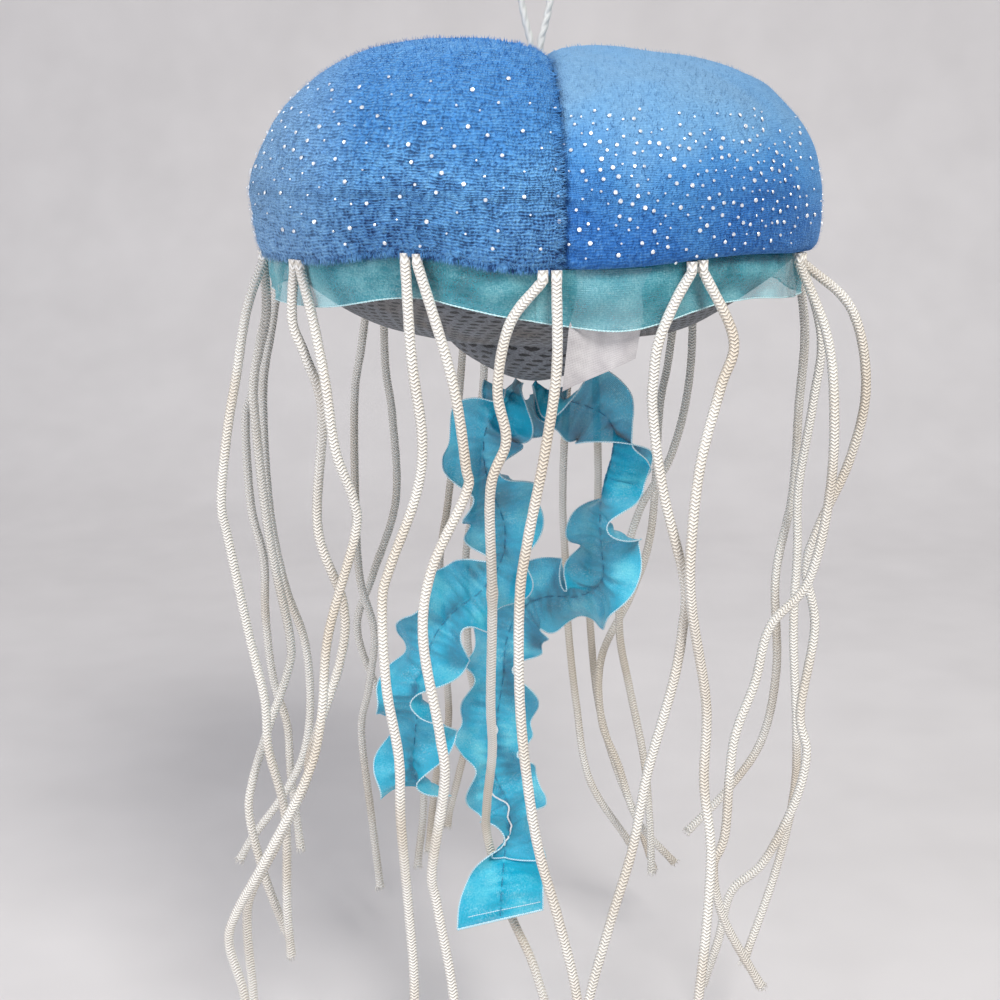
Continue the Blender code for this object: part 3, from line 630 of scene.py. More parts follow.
def rings_along(points):
    """The centre, side and up of each ring along a route, turned as little as it can be."""
    side, rings = None, []
    for k, point in enumerate(points):
        ahead = (points[min(k + 1, len(points) - 1)] - points[max(k - 1, 0)]).normalized()
        if side is None:
            side = ahead.orthogonal()
        side = (side - ahead * side.dot(ahead)).normalized()
        rings.append((point, side, ahead.cross(side)))
    return rings


def lay_tube(shape, points, radius, sides):
    """A tube along a route, whose radius is radius(metres along, turn), closed at both ends."""
    rings = rings_along(points)
    whole = length_of(points)
    last = len(points) - 1

    def place(u, v):
        centre, side, up = rings[round(v * last)]
        turn = 2 * pi * u
        reach = radius(v * whole, turn)
        return centre + (side * cos(turn) + up * sin(turn)) * reach

    before = set(shape.verts)
    laid_grid(shape, place, sides, last, (2000 * pi * radius(whole / 2, 0.0), whole * 1000), closed=True)
    fresh = [vertex for vertex in shape.verts if vertex not in before]
    edges = {edge for vertex in fresh for edge in vertex.link_edges if edge.is_boundary}
    bmesh.ops.holes_fill(shape, edges=list(edges), sides=sides)
    return shape


def tube(name, points, radius, sides, material):
    shape = lay_tube(bmesh.new(), points, radius, sides)
    bmesh.ops.recalc_face_normals(shape, faces=shape.faces)
    return link_piece(name, shape, material, sharp=60)


def belongs(piece, slot, *nodes):
    """The piece rides with the one body and stands for these nodes, which are hidden. The slot is not used.
    """
    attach(piece, "root")
    if nodes:
        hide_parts(*nodes)
    return piece


def corded(radius, swell=0.0, pitch=1.0):
    """The radius of a thread or a corded edge, for lay_tube, with a swelling at each pitch."""
    return lambda along, turn: radius + swell * sin(along * 2 * pi / pitch)


def threads(name, runs, material, slot_name, sides=6):
    """One piece of thread or edging, from (points, radius) runs."""
    shape = bmesh.new()
    for points, radius in runs:
        lay_tube(shape, points, radius, sides)
    bmesh.ops.recalc_face_normals(shape, faces=shape.faces)
    return belongs(link_piece(name, shape, material), slot_name)


# The camera, as the photograph was taken


def make_camera():
    lens = bpy.data.cameras.new("camera")
    lens.sensor_width = 36
    lens.lens = 56.25
    lens.shift_x = -0.0357
    lens.clip_start = 0.01
    camera = bpy.data.objects.new("camera", lens)
    bpy.context.scene.collection.objects.link(camera)
    camera.location = (0, -0.450, RIM_Z + 0.03586)
    camera.rotation_euler = (radians(90 - 13.86), 0, 0)
    bpy.context.scene.camera = camera


# The tentacles

# One cord has a plain thickening, as metres from its root and a share of its radius.
KNOBBED = 13
KNOB_AT = 0.090
KNOB_SWELL = 0.22


def tentacle_points(azimuth, route, place_in_pair):
    turn = degrees_of((CORD + PAIR_GAP) / 2 / CORD_RADIUS) * place_in_pair
    lift = rim_lift(azimuth + turn)
    low = on_ring(azimuth + turn, CORD_RADIUS, RIM_Z - CLEARANCE)
    root = low + Vector((0, 0, lift))
    free = root - Vector((0, 0, CORD_LEAD))
    points = [free]
    for right, down, front in route[1:]:
        sway = SWAY * eased(down / SWAY_START) * sin(down / SWAY_LENGTH + azimuth / 20 + 0.2 * place_in_pair)
        if abs(azimuth) < STILL_AZIMUTH:
            sway = 0.0
        rise = lift * (1 - eased(down / LIFT_CORD))
        points.append(low + Vector((right, -front, -down)) * 0.001 + Vector((0, sway, rise)))
    return root, points


def make_frayed_end(name, end, ahead, material, dice):
    """The cut end: short loose filaments that spread a little from the braid."""
    side = ahead.orthogonal().normalized()
    up = ahead.cross(side)
    runs = []
    for _ in range(26):
        turn = dice.uniform(0, 2 * pi)
        out = side * cos(turn) + up * sin(turn)
        foot = end + out * CORD * dice.uniform(0.15, 0.47) - ahead * 0.0006
        tip = foot + ahead * dice.uniform(0.0012, 0.0026) + out * dice.uniform(0.0001, 0.0008)
        runs.append(([foot, foot.lerp(tip, 0.6) + out * 0.0001, tip], lambda s, t: 0.00017 - 0.04 * s))
    return threads(name, runs, material, "ivory_satin_cord", sides=4)


def make_tentacles():
    braid = braided_cord()
    frayed = plain_thread("frayed_filaments", "#DDD8CF", "#F7F5F1")
    dice = random.Random(7)
    number = 1
    for azimuth, *routes in TENTACLE_PAIRS:
        for route, place_in_pair in zip(routes, (-1, 1)):
            root, free = tentacle_points(azimuth, route, place_in_pair)
            points = [root, *smooth_route(free, 0.0012)]
            whole = length_of(points)
            lump = KNOB_AT if number == KNOBBED else dice.uniform(0.05, 0.20)
            swell = KNOB_SWELL if number == KNOBBED else dice.uniform(0.0, 0.06)

            def radius(along, _):
                flare = 1 + 0.12 * eased((along - whole + 0.004) / 0.004)
                knob = 1 + swell * exp(-(((along - lump) / 0.0022) ** 2))
                return CORD / 2 * 0.985 * flare * knob * (1 + 0.018 * sin(along * 900 + number))

            cord = tube(f"tentacle_{number:02d}", points, radius, 12, braid)
            piece = belongs(cord, "ivory_satin_cord", f"tentacle_cord_{number:02d}")
            ahead = (points[-1] - points[-3]).normalized()
            end = make_frayed_end(f"tentacle_end_{number:02d}", points[-1], ahead, frayed, dice)
            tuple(root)
            number += 1


# The hanging loop


def loop_points():
    """Both strands of the loop, from one foot in the crown over the hook's place to the other."""
    foot = CROWN_Z - 0.0025 * 0.6
    rise = LOOP_HEIGHT + LOOP_CORD / 2
    left = [
        Vector((-LOOP_FOOT, 0, foot)),
        Vector((-LOOP_FOOT, 0, CROWN_Z + 0.02 * rise)),
        Vector((-1.05 * LOOP_FOOT, 0, CROWN_Z + 0.20 * rise)),
        Vector((-0.75 * LOOP_SPREAD, 0, CROWN_Z + 0.45 * rise)),
        Vector((-LOOP_SPREAD, 0, CROWN_Z + 0.70 * rise)),
        Vector((-0.75 * LOOP_SPREAD, 0, CROWN_Z + 0.90 * rise)),
    ]
    top = Vector((0, 0, CROWN_Z + rise))
    return left + [top] + [Vector((-point.x, point.y, point.z)) for point in reversed(left)]


def make_loop():
    points = smooth_route(loop_points(), 0.0003)

    def radius(along, turn):
        ply = abs(cos(turn - along * 2 * pi / 0.0068))
        return LOOP_CORD / 2 * (0.74 + 0.30 * ply)

    piece = belongs(tube("loop", points, radius, 20, twisted_cord()), "white_twisted_cord", "hanging_loop")
    round(length_of(points), 4)


# The bell

# How far the cloth is tucked in below the rim, as a climb and as a share of a gore's length.
RIM_TUCK = 0.04
TUCK_SHARE = 0.03
GORE_CLOTH_MM = (126.0, 140.0)


def bell_height(azimuth, radius_share):
    """How far a gore puffs up between its seams, and how the right side droops."""
    across = (azimuth - SEAM_AZIMUTH) % 360
    puff = PUFF_RIGHT if across < 180 else PUFF_LEFT
    lobe = abs(sin(radians(2 * across))) ** 0.6
    droop = RIGHT_DROOP * max(0.0, sin(radians(azimuth))) * radius_share
    return puff * lobe * min(1.0, radius_share * BELL_RADIUS / 0.025) - droop


def bell_point(azimuth, climb):
    """The outside of the bell: climb is 0 at the rim, WIDEST_CLIMB at the widest ring, 1 at the crown."""
    if climb < WIDEST_CLIMB:
        z = WIDEST_HEIGHT * climb / WIDEST_CLIMB
        radius = RIM_RADIUS + (BELL_RADIUS - RIM_RADIUS) * sqrt(1 - (1 - climb / WIDEST_CLIMB) ** 2)
    else:
        turn = (climb - WIDEST_CLIMB) / 0.75 * pi / 2
        z = WIDEST_HEIGHT + (BELL_HEIGHT - WIDEST_HEIGHT) * sin(turn) ** CROWN
        radius = BELL_RADIUS * max(0.0, cos(turn)) ** SHOULDER
    lobe = abs(sin(radians(2 * (azimuth - SEAM_AZIMUTH)))) ** 0.6
    share = radius / BELL_RADIUS
    high = (z / BELL_HEIGHT) ** 4
    z += bell_height(azimuth, share) * high - CROWN_DIMPLE * exp(-((radius / DIMPLE_WIDTH) ** 2))
    radius -= SEAM_PINCH * (1 - lobe) * min(1.0, z / 0.012) * share
    return radius, z + rim_lift(azimuth) * max(0.0, 1 - climb / LIFT_CLIMB) ** 1.5


def stuffed_point(azimuth, climb):
    """The bell's cloth with its softer forms: lumps of stuffing, puckers beside the seams, pulls at each
    pair of tentacles, the groove where two gores are sewn and, below a climb of 0, the turn under the rim."""
    radius, z = bell_point(azimuth, max(climb, 0.0))
    point = on_ring(azimuth, radius, RIM_Z + z)
    outward = Vector((point.x, point.y, 2.2 * max(0.0, z - WIDEST_HEIGHT))).normalized()
    from_seam = abs((azimuth - SEAM_AZIMUTH + 45) % 90 - 45) * pi / 180 * max(radius, 0.004)
    lumps = noise.noise(point * 38) * 0.0011 + noise.noise(point * 90 + Vector((5, 1, 2))) * 0.0005
    pucker = sin(climb * 75 + azimuth) * 0.00035 * exp(-from_seam / 0.007)
    groove = -0.0021 * exp(-((from_seam / 0.0013) ** 1.3)) - 0.0007 * exp(-((from_seam / 0.006) ** 2))
    pull = 0.0
    for pair in TENTACLE_PAIRS:
        near = ((azimuth - pair[0] + 180) % 360 - 180) / 5.0
        pull -= 0.0011 * exp(-(near**2)) * exp(-max(z, 0) / 0.006)
    fade = min(1.0, radius / 0.012)
    moved = point + outward * ((lumps + pucker) * fade + groove * max(fade, 0.4) + pull)
    if climb < 0:
        tuck = -climb / RIM_TUCK
        moved -= Vector((point.x, point.y, 0)).normalized() * (0.0032 * tuck)
        moved.z += -0.0004 * sin(tuck * pi) + 0.0004 * tuck
    return moved


def make_gore(name, from_seam, material, node):
    def place(u, v):
        if v >= TUCK_SHARE:
            climb = TOP_CLIMB * ((v - TUCK_SHARE) / (1 - TUCK_SHARE)) ** 0.9
        else:
            climb = -RIM_TUCK * (1 - v / TUCK_SHARE)
        # More of the columns lie near the seams, where the groove is.
        spread = 0.5 - 0.5 * cos(pi * u)
        bias = u * 0.45 + spread * 0.55
        return stuffed_point(from_seam + 90 * bias, climb)

    piece = cloth(name, place, 132, 100, GORE_CLOTH_MM, material, thickness=0.0006)
    belongs(piece, "blue_velour", node)
    return piece


# Shares of the upright tufts that lean over a seam and hang below the rim.
SEAM_FUZZ = 0.12
RIM_FUZZ = 0.10
# Foil dots: places tried, and the least distance between two of them on the brushed gores, in metres.
DOT_TRIES = 14000
DOT_SPACING = 0.0022
DOT_RADII = (0.00028, 0.00034, 0.00042, 0.00052, 0.00060)


def directions_at(foot, azimuth, climb):
    """Round the bell, up it and out of it, at a place on its cloth."""
    along = (stuffed_point(azimuth + 1.5, climb) - foot).normalized()
    above = stuffed_point(azimuth, min(climb + 0.02, TOP_CLIMB))
    rise = (above - stuffed_point(azimuth, max(climb - 0.02, 0))).normalized()
    out = along.cross(rise).normalized()
    if out.dot(Vector((foot.x, foot.y, foot.z - RIM_Z + 0.03))) < 0:
        out = -out
    return along, rise, out


def make_nap(name, from_seam, material, count, lean, dice):
    """The pile itself, as short tapered tufts that stand out of the cloth and show at its outline. On the
    upright gores more of them lean over the seams and below the rim, so those edges are soft and ragged."""
    upright = lean < 0.5
    shape = bmesh.new()
    layer = shape.loops.layers.uv.new("cloth_mm")
    for _ in range(count):
        azimuth = from_seam + 90 * dice.random()
        climb = TOP_CLIMB * (1 - (1 - dice.random()) ** 0.62)
        drawn = dice.random() if upright else 1.0
        over_seam = sink = 0.0
        if drawn < SEAM_FUZZ:
            near = dice.random()
            azimuth = from_seam + (near * 2.0 if drawn < SEAM_FUZZ / 2 else 90 - near * 2.0)
            over_seam = -1.5 if drawn < SEAM_FUZZ / 2 else 1.5
        elif drawn < SEAM_FUZZ + RIM_FUZZ:
            climb = dice.uniform(0, 0.005)
            sink = -1.6
        foot = stuffed_point(azimuth, climb)
        along, rise, out = directions_at(foot, azimuth, climb)
        edge = over_seam or sink
        height = dice.uniform(0.0012, 0.0022) if edge else dice.uniform(0.0008, 0.0014)
        up_by = lean + sink + dice.uniform(-0.5, 0.5)
        aside = over_seam + dice.uniform(-0.6, 0.6)
        tip = foot + (out + rise * up_by + along * aside).normalized() * height
        wide = (rise if over_seam else along) * dice.uniform(0.00009, 0.00016) * (1.5 if edge else 1.0)
        foot = foot - out * 0.0002
        corners = [shape.verts.new(foot - wide), shape.verts.new(foot + wide), shape.verts.new(tip)]
        blade = shape.faces.new(corners)
        for loop in blade.loops:
            loop[layer].uv = ((azimuth - from_seam) * GORE_CLOTH_MM[0] / 90, climb * GORE_CLOTH_MM[1])
    return belongs(link_piece(name, shape, material), "blue_velour")


def dot_share(azimuth, foot):
    """How likely a foil dot still shows at this place: the pile hides them by the crown and the rim, and on
    the brushed gores they are thick in patches."""
    level = (foot.z - RIM_Z) / BELL_HEIGHT
    clear = eased(level / 0.2) * (1 - eased((level - 0.56) / 0.2))
    if (azimuth - SEAM_AZIMUTH) % 360 >= 180:
        return 0.55 * eased(level / 0.25) * (1 - eased((level - 0.68) / 0.2))
    if azimuth - SEAM_AZIMUTH < 90:
        return clear * (0.05 + exp(-(((azimuth - 17) / 11) ** 2)) + 1.3 * exp(-(((azimuth - 43) / 11) ** 2)))
    return clear * (0.35 + 1.5 * noise.noise(Vector((azimuth * 0.05, 0, 7))))


def make_foil_dots(material, dice):
    """Foil dots on the velour, never closer together than their stamped spacing."""
    shape = bmesh.new()
    placed = []
    for _ in range(DOT_TRIES):
        azimuth = dice.uniform(0, 360)
        brushed = (azimuth - SEAM_AZIMUTH) % 360 < 180
        climb = TOP_CLIMB * dice.random() ** 0.8
        foot = stuffed_point(azimuth, climb)
        from_axis = Vector((foot.x, foot.y, 0)).length
        if dice.random() > dot_share(azimuth, foot) * from_axis / BELL_RADIUS:
            continue
        apart = DOT_SPACING if brushed else DOT_SPACING * 2
        if any((foot - other).length_squared < apart * apart for other in placed):
            continue
        placed.append(foot)
        along, rise, out = directions_at(foot, azimuth, climb)
        tilt = (out + along * dice.uniform(-0.3, 0.3) + rise * dice.uniform(-0.3, 0.3)).normalized()
        turn = tilt.to_track_quat("Z", "Y").to_matrix().to_4x4()
        size = dice.choice(DOT_RADII)
        bmesh.ops.create_cone(
            shape,
            cap_ends=True,
            segments=9,
            radius1=size,
            radius2=size * 0.72,
            depth=0.00024,
            matrix=Matrix.Translation(foot + out * (0.0004 if brushed else 0.0005)) @ turn,
        )
    return belongs(link_piece("foil_dots", shape, material, sharp=30), "blue_velour")


def make_bell():
    upright = velour_fabric("velour_upright_nap", upright=True)
    brushed = velour_fabric("velour_brushed_nap", upright=False)
    dice = random.Random(3)
    # Each gore's place, its first seam, and its pile's cloth, number of tufts and lean
    gores = (
        ("front_right", SEAM_AZIMUTH, brushed, 9000, 0.8),
        ("rear_right", SEAM_AZIMUTH + 90, brushed, 9000, 0.8),
        ("rear_left", SEAM_AZIMUTH + 180, upright, 17000, 0.1),
        ("front_left", SEAM_AZIMUTH + 270, upright, 17000, 0.1),
    )
    for place, azimuth, material, count, lean in gores:
        make_gore(f"gore_{place}", azimuth, material, f"bell_gore_{place}")
        make_nap(f"nap_{place}", azimuth, material, count, lean, dice)
    make_foil_dots(silver_foil(), dice)


# The underside


def underside_drop(radius):
    """How far below the rim the underside hangs at a radius."""
    if radius > CAP_RADIUS:
        share = (UNDERSIDE_EDGE - radius) / (UNDERSIDE_EDGE - CAP_RADIUS)
        return CAP_SEAM_DROP * sin(share * pi / 2) ** 0.85
    share = 1 - radius / CAP_RADIUS
    return CAP_SEAM_DROP + (UNDERSIDE_DROP - CAP_SEAM_DROP) * sin(share * pi / 2) ** 0.8


def belly_point(azimuth, radius):
    """The underside with lumps of stuffing and the groove of its round seam."""
    lift = rim_lift(azimuth) * max(0.0, 1 - (UNDERSIDE_EDGE - radius) / LIFT_BELLY) ** 2
    point = on_ring(azimuth, radius, RIM_Z - CLEARANCE - underside_drop(radius) + lift)
    beside = abs(radius - CAP_RADIUS)
    groove = 0.0012 * exp(-((beside / 0.0009) ** 1.2)) + 0.0006 * exp(-((beside / 0.004) ** 2))
    lumps = noise.noise(point * 45) * 0.0011 * min(1.0, (UNDERSIDE_EDGE - radius) / 0.01)
    pucker = sin(radians(azimuth) * 34) * 0.0003 * exp(-beside / 0.004)
    point.z += groove + max(lumps, -0.001) + pucker
    return point


def make_underside():
    plush = printed_plush()

    def ring(u, v):
        return belly_point(360 * u, UNDERSIDE_EDGE - 0.0002 + (CAP_RADIUS - UNDERSIDE_EDGE + 0.0002) * v)

    def cap(u, v):
        return belly_point(360 * u, CAP_RADIUS * (1 - v))

    # The print is laid out at each cloth's middle radius, 55 and 17 mm.
    ring_mm = (2000 * pi * 0.055, 58.0)
    cap_mm = (2000 * pi * 0.017, 32.0)
    outer = cloth("belly_ring", ring, 200, 44, ring_mm, plush, closed=True, thickness=0.0005)
    belongs(outer, "grey_printed_velour", "underside_ring")
    inner = cloth("belly_cap", cap, 120, 30, cap_mm, plush, closed=True, thickness=0.0005)
    belongs(inner, "grey_printed_velour", "underside_cap")


# The frill


def frill_point(u, v):
    """The organza frill, from the rim seam down, with a shallow wave between the tentacles."""
    azimuth = 360 * u
    turn = (azimuth - FRILL_DROOP_AZIMUTH + 180) % 360 - 180
    depth = FRILL_DEPTH + FRILL_DROOP * exp(-((turn / FRILL_DROOP_WIDTH) ** 2))
    nearest = min(abs((azimuth - pair[0] + 180) % 360 - 180) for pair in TENTACLE_PAIRS)
    wave = FRILL_WAVE * (eased(nearest / 13) - 0.75) * eased(v * 1.6)
    radius = FRILL_RADIUS - 0.0004 * v + wave
    depth *= 1 + 0.05 * sin(radians(azimuth * 5 + 40))
    crease = noise.noise(Vector((azimuth * 0.16, v * 1.5, 3.0))) * 0.0014 * eased(v * 2)
    bulge = 0.0013 * sin(pi * min(1.0, v * 1.25)) * eased(nearest / 9)
    fine = sin(radians(azimuth * 67) + 3 * v) * 0.00018 * (1 - v)
    z = RIM_Z - CLEARANCE + rim_lift(azimuth) - depth * v
    return on_ring(azimuth, radius + crease + bulge + fine, z)


def make_frill():
    sheer = organza("teal_organza_cloth", "#1C8092", "#3AA4B6", "#8FDEE9", 0.60)
    flat_mm = (2000 * pi * FRILL_RADIUS, FRILL_WIDTH * 1000)
    piece = cloth("organza_frill", frill_point, 720, 12, flat_mm, sheer, closed=True)
    belongs(piece, "teal_organza", "frill")
    edge = [frill_point(k / 720, 1.0) for k in range(720)]
    edge.append(edge[0].copy())
    beads = smooth_route(edge, 0.0004), corded(0.00020, 0.00006, 0.0011)
    pale = plain_thread("pale_selvedge", "#9AD3DC", "#E2F5F7")
    selvedge = threads("frill_selvedge", [beads], pale, "teal_organza")


# The label


def make_label():
    def place(u, v):
        across = (u - 0.5) * LABEL_WIDTH
        turn = degrees_of(across / LABEL_RADIUS)
        hung = on_ring(LABEL_AZIMUTH + turn * (1 - 0.9 * v), LABEL_RADIUS, 0)
        facing = on_ring(LABEL_AZIMUTH, 1, 0)
        along = Vector((-facing.y, facing.x, 0))
        flat = on_ring(LABEL_AZIMUTH, LABEL_RADIUS, 0) + along * across
        point = hung.lerp(flat, eased(v * 2))
        drop = LABEL_LENGTH * v + LABEL_SLANT * (0.5 - u) * v
        point -= along * LABEL_LEAN * v
        point -= facing * (LABEL_TUCK * eased(v * 3) + LABEL_TWIST * (u - 0.5) * v)
        point += facing * (0.0005 * sin(u * 5 + v * 4) * eased(v * 2))
        return Vector((point.x, point.y, RIM_Z - CLEARANCE - drop))

    piece = cloth("label_tape", place, 40, 54, (19.5, 26.0), satin_tape())
    belongs(piece, "white_satin_label", "sewn_label")


# The streamers

RIBBON_SLOT = "turquoise_organza"
# Flat length of ribbon in each length of its gathering thread, for the weave
GATHERED_FROM = 1.6
# Distances along a thread, in metres
EDGE_STEP = 0.0005
STITCH_PITCH = 0.0042


def streamer_surface(route, flat_end, neck):
    """The length of a streamer's thread and place(u, v) of its ribbon, in which u runs along the thread and
    v across the ribbon from edge to edge."""
    tip = Vector((0, 0, RIM_Z - CLEARANCE - UNDERSIDE_DROP))
    points = [tip + Vector((right, -front, -down)) * 0.001 for right, down, front, _, _ in route]
    turns = [Vector((one, other, 0)) for _, _, _, one, other in route]
    spine = smooth_route(points, STREAMER_STEP)
    spans = len(spine) - 1
    station = [0.0]
    for a, b in zip(points, points[1:]):
        station.append(station[-1] + (b - a).length)

    def at(values, place):
        place = min(max(place * (len(values) - 1), 0), len(values) - 1.000001)
        k = int(place)
        return values[k].lerp(values[k + 1], place - k)

    def half_angles(share):
        along = share * station[-1]
        k = max(j for j in range(len(station) - 1) if station[j] <= along + 1e-9)
        between = min(1.0, (along - station[k]) / (station[k + 1] - station[k]))
        return turns[k].lerp(turns[k + 1], between * between * (3 - 2 * between))

    def form(u, v):
        centre = at(spine, u)
        ahead = (at(spine, u + 0.03) - at(spine, u - 0.03)).normalized()
        side = Vector((0, -1, 0)).cross(ahead).normalized()
        out = ahead.cross(side)
        length = u * spans * STREAMER_STEP
        across = v * 2 - 1
        calm = eased((1 - u) * spans * STREAMER_STEP / FLAT_END) if flat_end else 1.0
        angles = half_angles(u)
        phase = 2 * pi * length / RUFFLE_PITCH
        if across >= 0:
            turn = angles.x + calm * (RUFFLE_LEAN + RUFFLE_SWING * sin(phase))
            bend = phase
        else:
            turn = angles.y + calm * (RUFFLE_SWING * sin(phase + RUFFLE_OFFSET) - RUFFLE_LEAN)
            bend = phase + RUFFLE_OFFSET
        full = KNOT_WIDTH + (1 - KNOT_WIDTH) * eased(length / FULL_AFTER)
        reach = RIBBON_WIDTH / 2 * abs(across) * full
        if neck and across < 0:
            reach *= 1 - NECK_PULL * exp(-(((length - neck) / NECK_LENGTH) ** 2))
        turn = radians(turn + calm * RUFFLE_CURL * cos(bend) * across * across)
        reach *= 1 - calm * RUFFLE_SCALLOP * (1 + cos(bend))
        slant = ahead * FLAT_SLANT * across * (1 - calm)
        spoke = side * cos(turn) + out * sin(turn)
        puffed = PUFF * calm * cos(bend + 0.6) * sin(pi * abs(across) ** 0.8)
        arch = (out * cos(turn) - side * sin(turn)) * puffed
        arch *= eased(length / 0.020)
        return centre + spoke * reach - slant, arch, calm

    def place(u, v):
        shares = ((-2, 1), (-1, 4), (0, 6), (1, 4), (2, 1))
        point, arch = Vector(), Vector()
        for step, share in shares:
            near, bulge, calm = form(min(max(u + step * 0.0012 / (spans * STREAMER_STEP), 0), 1), v)
            point += near * (share / 16)
            arch += bulge * (share / 16)
        length = u * spans * STREAMER_STEP
        across = abs(v * 2 - 1)
        half = 1 if v >= 0.5 else -1
        near = at(spine, u)
        facing = (form(u, 1.0 if half > 0 else 0.0)[0] - near).cross(at(spine, u + 0.02) - near).normalized()
        pleat = sin(length * 2 * pi / 0.0030 + 2.5 * noise.noise(near * 260) + half)
        pleat += 0.6 * sin(length * 2 * pi / 0.0047 + half * 2)
        pleat *= 0.00055 * sin(pi * min(1.0, across * 1.15) ** 0.7) * (0.35 + 0.65 * calm)
        dent = 0.0011 * noise.noise(point * 150 + Vector((half, 0, 0))) * across
        return point + arch + facing * (pleat + dent)

    return spans * STREAMER_STEP, place


def make_turned_end(name, length, place, material, edging):
    """The doubled end of the long ribbon, its raw edge and the white basting thread that wanders above."""
    top, low = 1 - TURN_UP / length, 1 - 0.0016 / length

    def turned(u, v):
        return place(top + (low - top) * u, 0.03 + 0.94 * v) + Vector((0, 0.0009, -0.0004 * u))

    doubled = cloth(name + "_turned_end", turned, 24, 32, (TURN_UP * 1000, RIBBON_WIDTH * 1000), material)
    belongs(doubled, RIBBON_SLOT)
    brim = [turned(0.0, 0.04 + 0.92 * k / 24) + Vector((0, -0.0016, 0)) for k in range(25)]
    brim = smooth_route(brim, EDGE_STEP), corded(0.00022)
    edge = threads(name + "_turned_edge", [brim], edging, RIBBON_SLOT)
    wander = []
    for k in range(61):
        sway = 0.47 + 0.03 * sin(k * 0.62) + 0.05 * sin(k * 0.2 + 4)
        wander.append(place(0.66 + 0.23 * k / 60, sway) + Vector((0, -0.0011, 0)))
    wander = smooth_route(wander, 0.0006), corded(0.00026)
    # Loose white cotton thread: matt, a little fuzzy, with a twist
    cotton = plain_thread("white_cotton_thread", "#D3D6D6", "#FBFCFC", 0.6)
    return [doubled, edge, threads("basting_thread", [wander], cotton, RIBBON_SLOT, sides=8)]


def make_streamer(name, route, material, edging, thread, node, flat_end, neck=None):
    length, place = streamer_surface(route, flat_end, neck)
    columns = round(length / 0.0007)
    flat_mm = (length * 1000 * GATHERED_FROM, RIBBON_WIDTH * 1000)
    piece = cloth(name, place, columns, 32, flat_mm, material)
    belongs(piece, RIBBON_SLOT, node)
    edges = []
    for v in (0.0, 1.0):
        rim = [place(k / columns, v) for k in range(columns + 1)]
        edges.append((smooth_route(rim, EDGE_STEP), corded(0.00021, 0.00006, 0.0012)))
    if flat_end:
        hem = [place(1.0, k / 24) for k in range(25)]
        edges.append((smooth_route(hem, EDGE_STEP), corded(0.00034, 0.00010, 0.0013)))
        fold = [place(1 - 0.0032 / length, 0.12 + k / 27) for k in range(24)]
        edges.append((smooth_route(fold, EDGE_STEP), corded(0.00014)))
    selvedges = threads(name + "_selvedges", edges, edging, RIBBON_SLOT)
    stitches = []
    count = int(length / STITCH_PITCH)
    for k in range(1, count):
        spots = [place((k + s) / count, 0.5) for s in (0.0, 0.2, 0.4, 0.6)]
        heights = (0.0002, 0.0006, 0.0006, 0.0002)
        spots = [spot + Vector((0, -1, 0)) * height for spot, height in zip(spots, heights)]
        stitches.append((smooth_route(spots, 0.0004), corded(0.00015)))
    pieces = [selvedges, threads(name + "_stitches", stitches, thread, RIBBON_SLOT)]
    if flat_end:
        pieces += make_turned_end(name, length, place, material, edging)


def make_rosette(sheer, edging):
    """The gathered starts of both ribbons, fanned out in ruffles below the tip of the underside."""
    heart = Vector((-0.0030, 0.0035, RIM_Z - CLEARANCE - UNDERSIDE_DROP - 0.0062))

    def place(u, v):
        turn = radians(-196 + 212 * u)
        reach = 0.0012 + 0.0112 * v * (1 + 0.06 * sin(turn * 5))
        ruffle = 0.0028 * eased(v * 1.1) * sin(turn * 6.5 + 0.6) + 0.0006 * sin(turn * 31) * v * (1 - v)
        swing = 0.12 * sin(turn * 6.5 + 2.0) * v
        return heart + Vector((cos(turn + swing) * reach, ruffle, sin(turn + swing) * reach))

    width = RIBBON_WIDTH / 2
    piece = cloth("ribbon_rosette", place, 200, 18, (70.0, width * 1000), sheer)
    belongs(piece, RIBBON_SLOT)
    rim = smooth_route([place(k / 200, 1.0) for k in range(201)], EDGE_STEP), corded(0.0002)
    selvedge = threads("ribbon_rosette_selvedge", [rim], edging, RIBBON_SLOT)


def make_streamers():
    sheer = organza("turquoise_organza_cloth", "#0094B4", "#08B2D6", "#66D6EA", 0.92, gathered=True)
    edging = plain_thread("pale_turquoise_selvedge", "#6FBFD8", "#EAF8FC")
    thread = plain_thread("gathering_thread", "#0D6F96", "#2FA0C6")
    make_streamer("ribbon_long", LONG_STREAMER, sheer, edging, thread, "streamer_long", True, NECK_AT)
    make_streamer("ribbon_short", SHORT_STREAMER, sheer, edging, thread, "streamer_short", False)
    make_rosette(sheer, edging)


# The filling keeps its solid, with the finish of loose fibre


def finish_filling():
    loose = fibre_filling()
    for holder in bpy.data.objects:
        if holder.name.startswith("filling"):
            for slot in holder.material_slots:
                slot.material = loose


# The stage

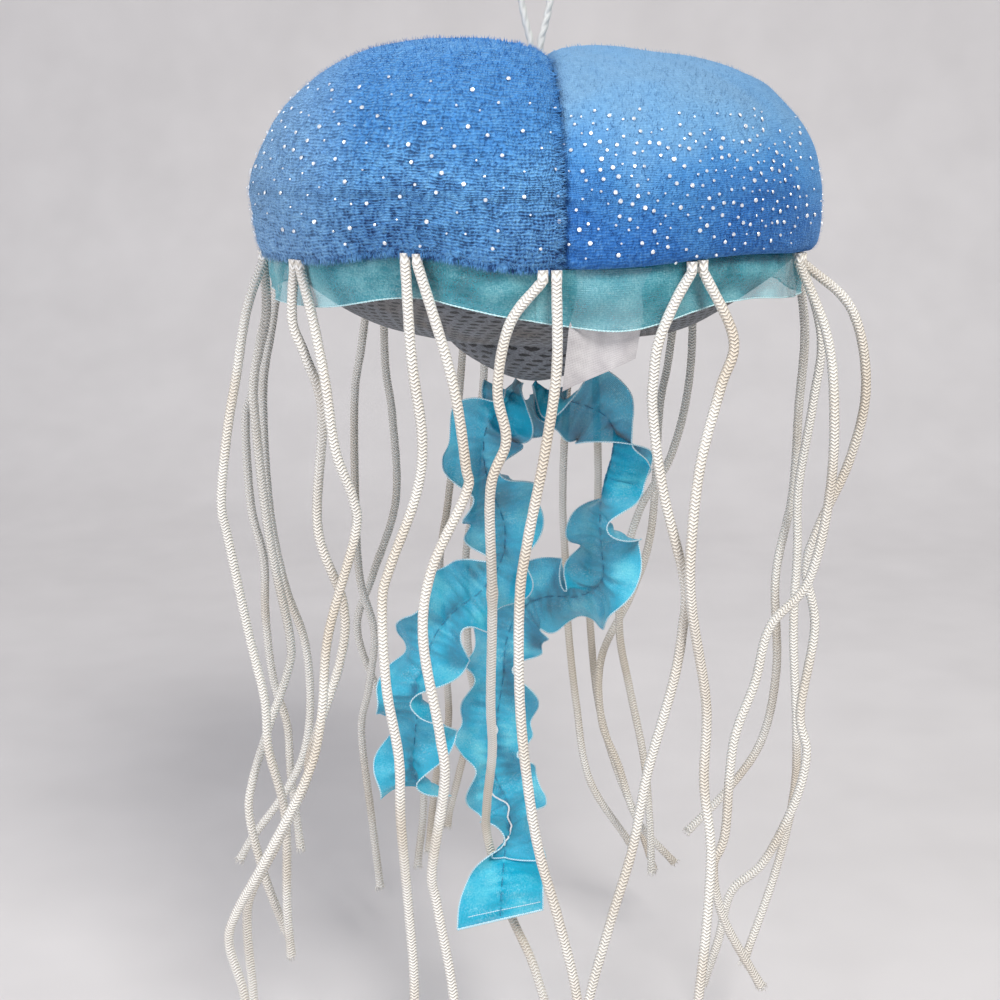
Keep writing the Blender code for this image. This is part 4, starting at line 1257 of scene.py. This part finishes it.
FLOOR_Z = -0.335
FLOOR_RUN = 1.6
BEND = 0.4


def make_stage():
    """A sheet of matt paper that runs back over the floor and bends up into the backdrop."""
    material, node, shader = new_material("pale_studio_paper", Roughness=0.9)
    grain = node("ValToRGB", (object_noise(node, 60.0, 2.0),), ((0.3, "#CCC9CA"), (0.7, "#D2CFD0")))
    shader.id_data.links.new(grain, shader.inputs["Base Color"])

    def place(u, v):
        run = v * 3.2
        if run < FLOOR_RUN:
            y, z = run - 1.0, 0.0
        elif run < FLOOR_RUN + BEND * pi / 2:
            turn = (run - FLOOR_RUN) / BEND
            y, z = 0.6 + BEND * sin(turn), BEND * (1 - cos(turn))
        else:
            y, z = 1.0, BEND + run - FLOOR_RUN - BEND * pi / 2
        return Vector(((u - 0.5) * 5, y, FLOOR_Z + z))

    cloth("studio_floor", place, 4, 96, (5000, 3200), material)


def area_light(name, place, aim, size, power, code):
    lamp = bpy.data.lights.new(name, "AREA")
    lamp.shape = "DISK"
    lamp.size = size
    lamp.energy = power
    lamp.color = colour(code)[:3]
    holder = bpy.data.objects.new(name, lamp)
    bpy.context.scene.collection.objects.link(holder)
    holder.location = place
    holder.rotation_euler = (Vector(aim) - Vector(place)).to_track_quat("-Z", "Y").to_euler()


def make_light():
    area_light("key", (0.40, -0.80, 0.80), (0, 0, -0.12), 0.5, 15.5, "#FFFDF8")
    area_light("fill", (-0.9, -0.8, 0.25), (0, 0, -0.15), 1.0, 9.5, "#F8F9FF")
    area_light("rear", (0.3, 0.8, 0.7), (0, 0, -0.1), 0.8, 3.0, "#FFFFFF")
    world = bpy.data.worlds.new("studio_air")
    world.use_nodes = True
    ground = world.node_tree.nodes["Background"]
    ground.inputs["Color"].default_value = colour("#E9ECF0")
    ground.inputs["Strength"].default_value = 0.42
    bpy.context.scene.world = world


bpy.context.scene.view_settings.view_transform = "Standard"
make_camera()
make_tentacles()
make_loop()
make_bell()
make_underside()
make_frill()
make_label()
make_streamers()
finish_filling()
make_stage()
make_light()
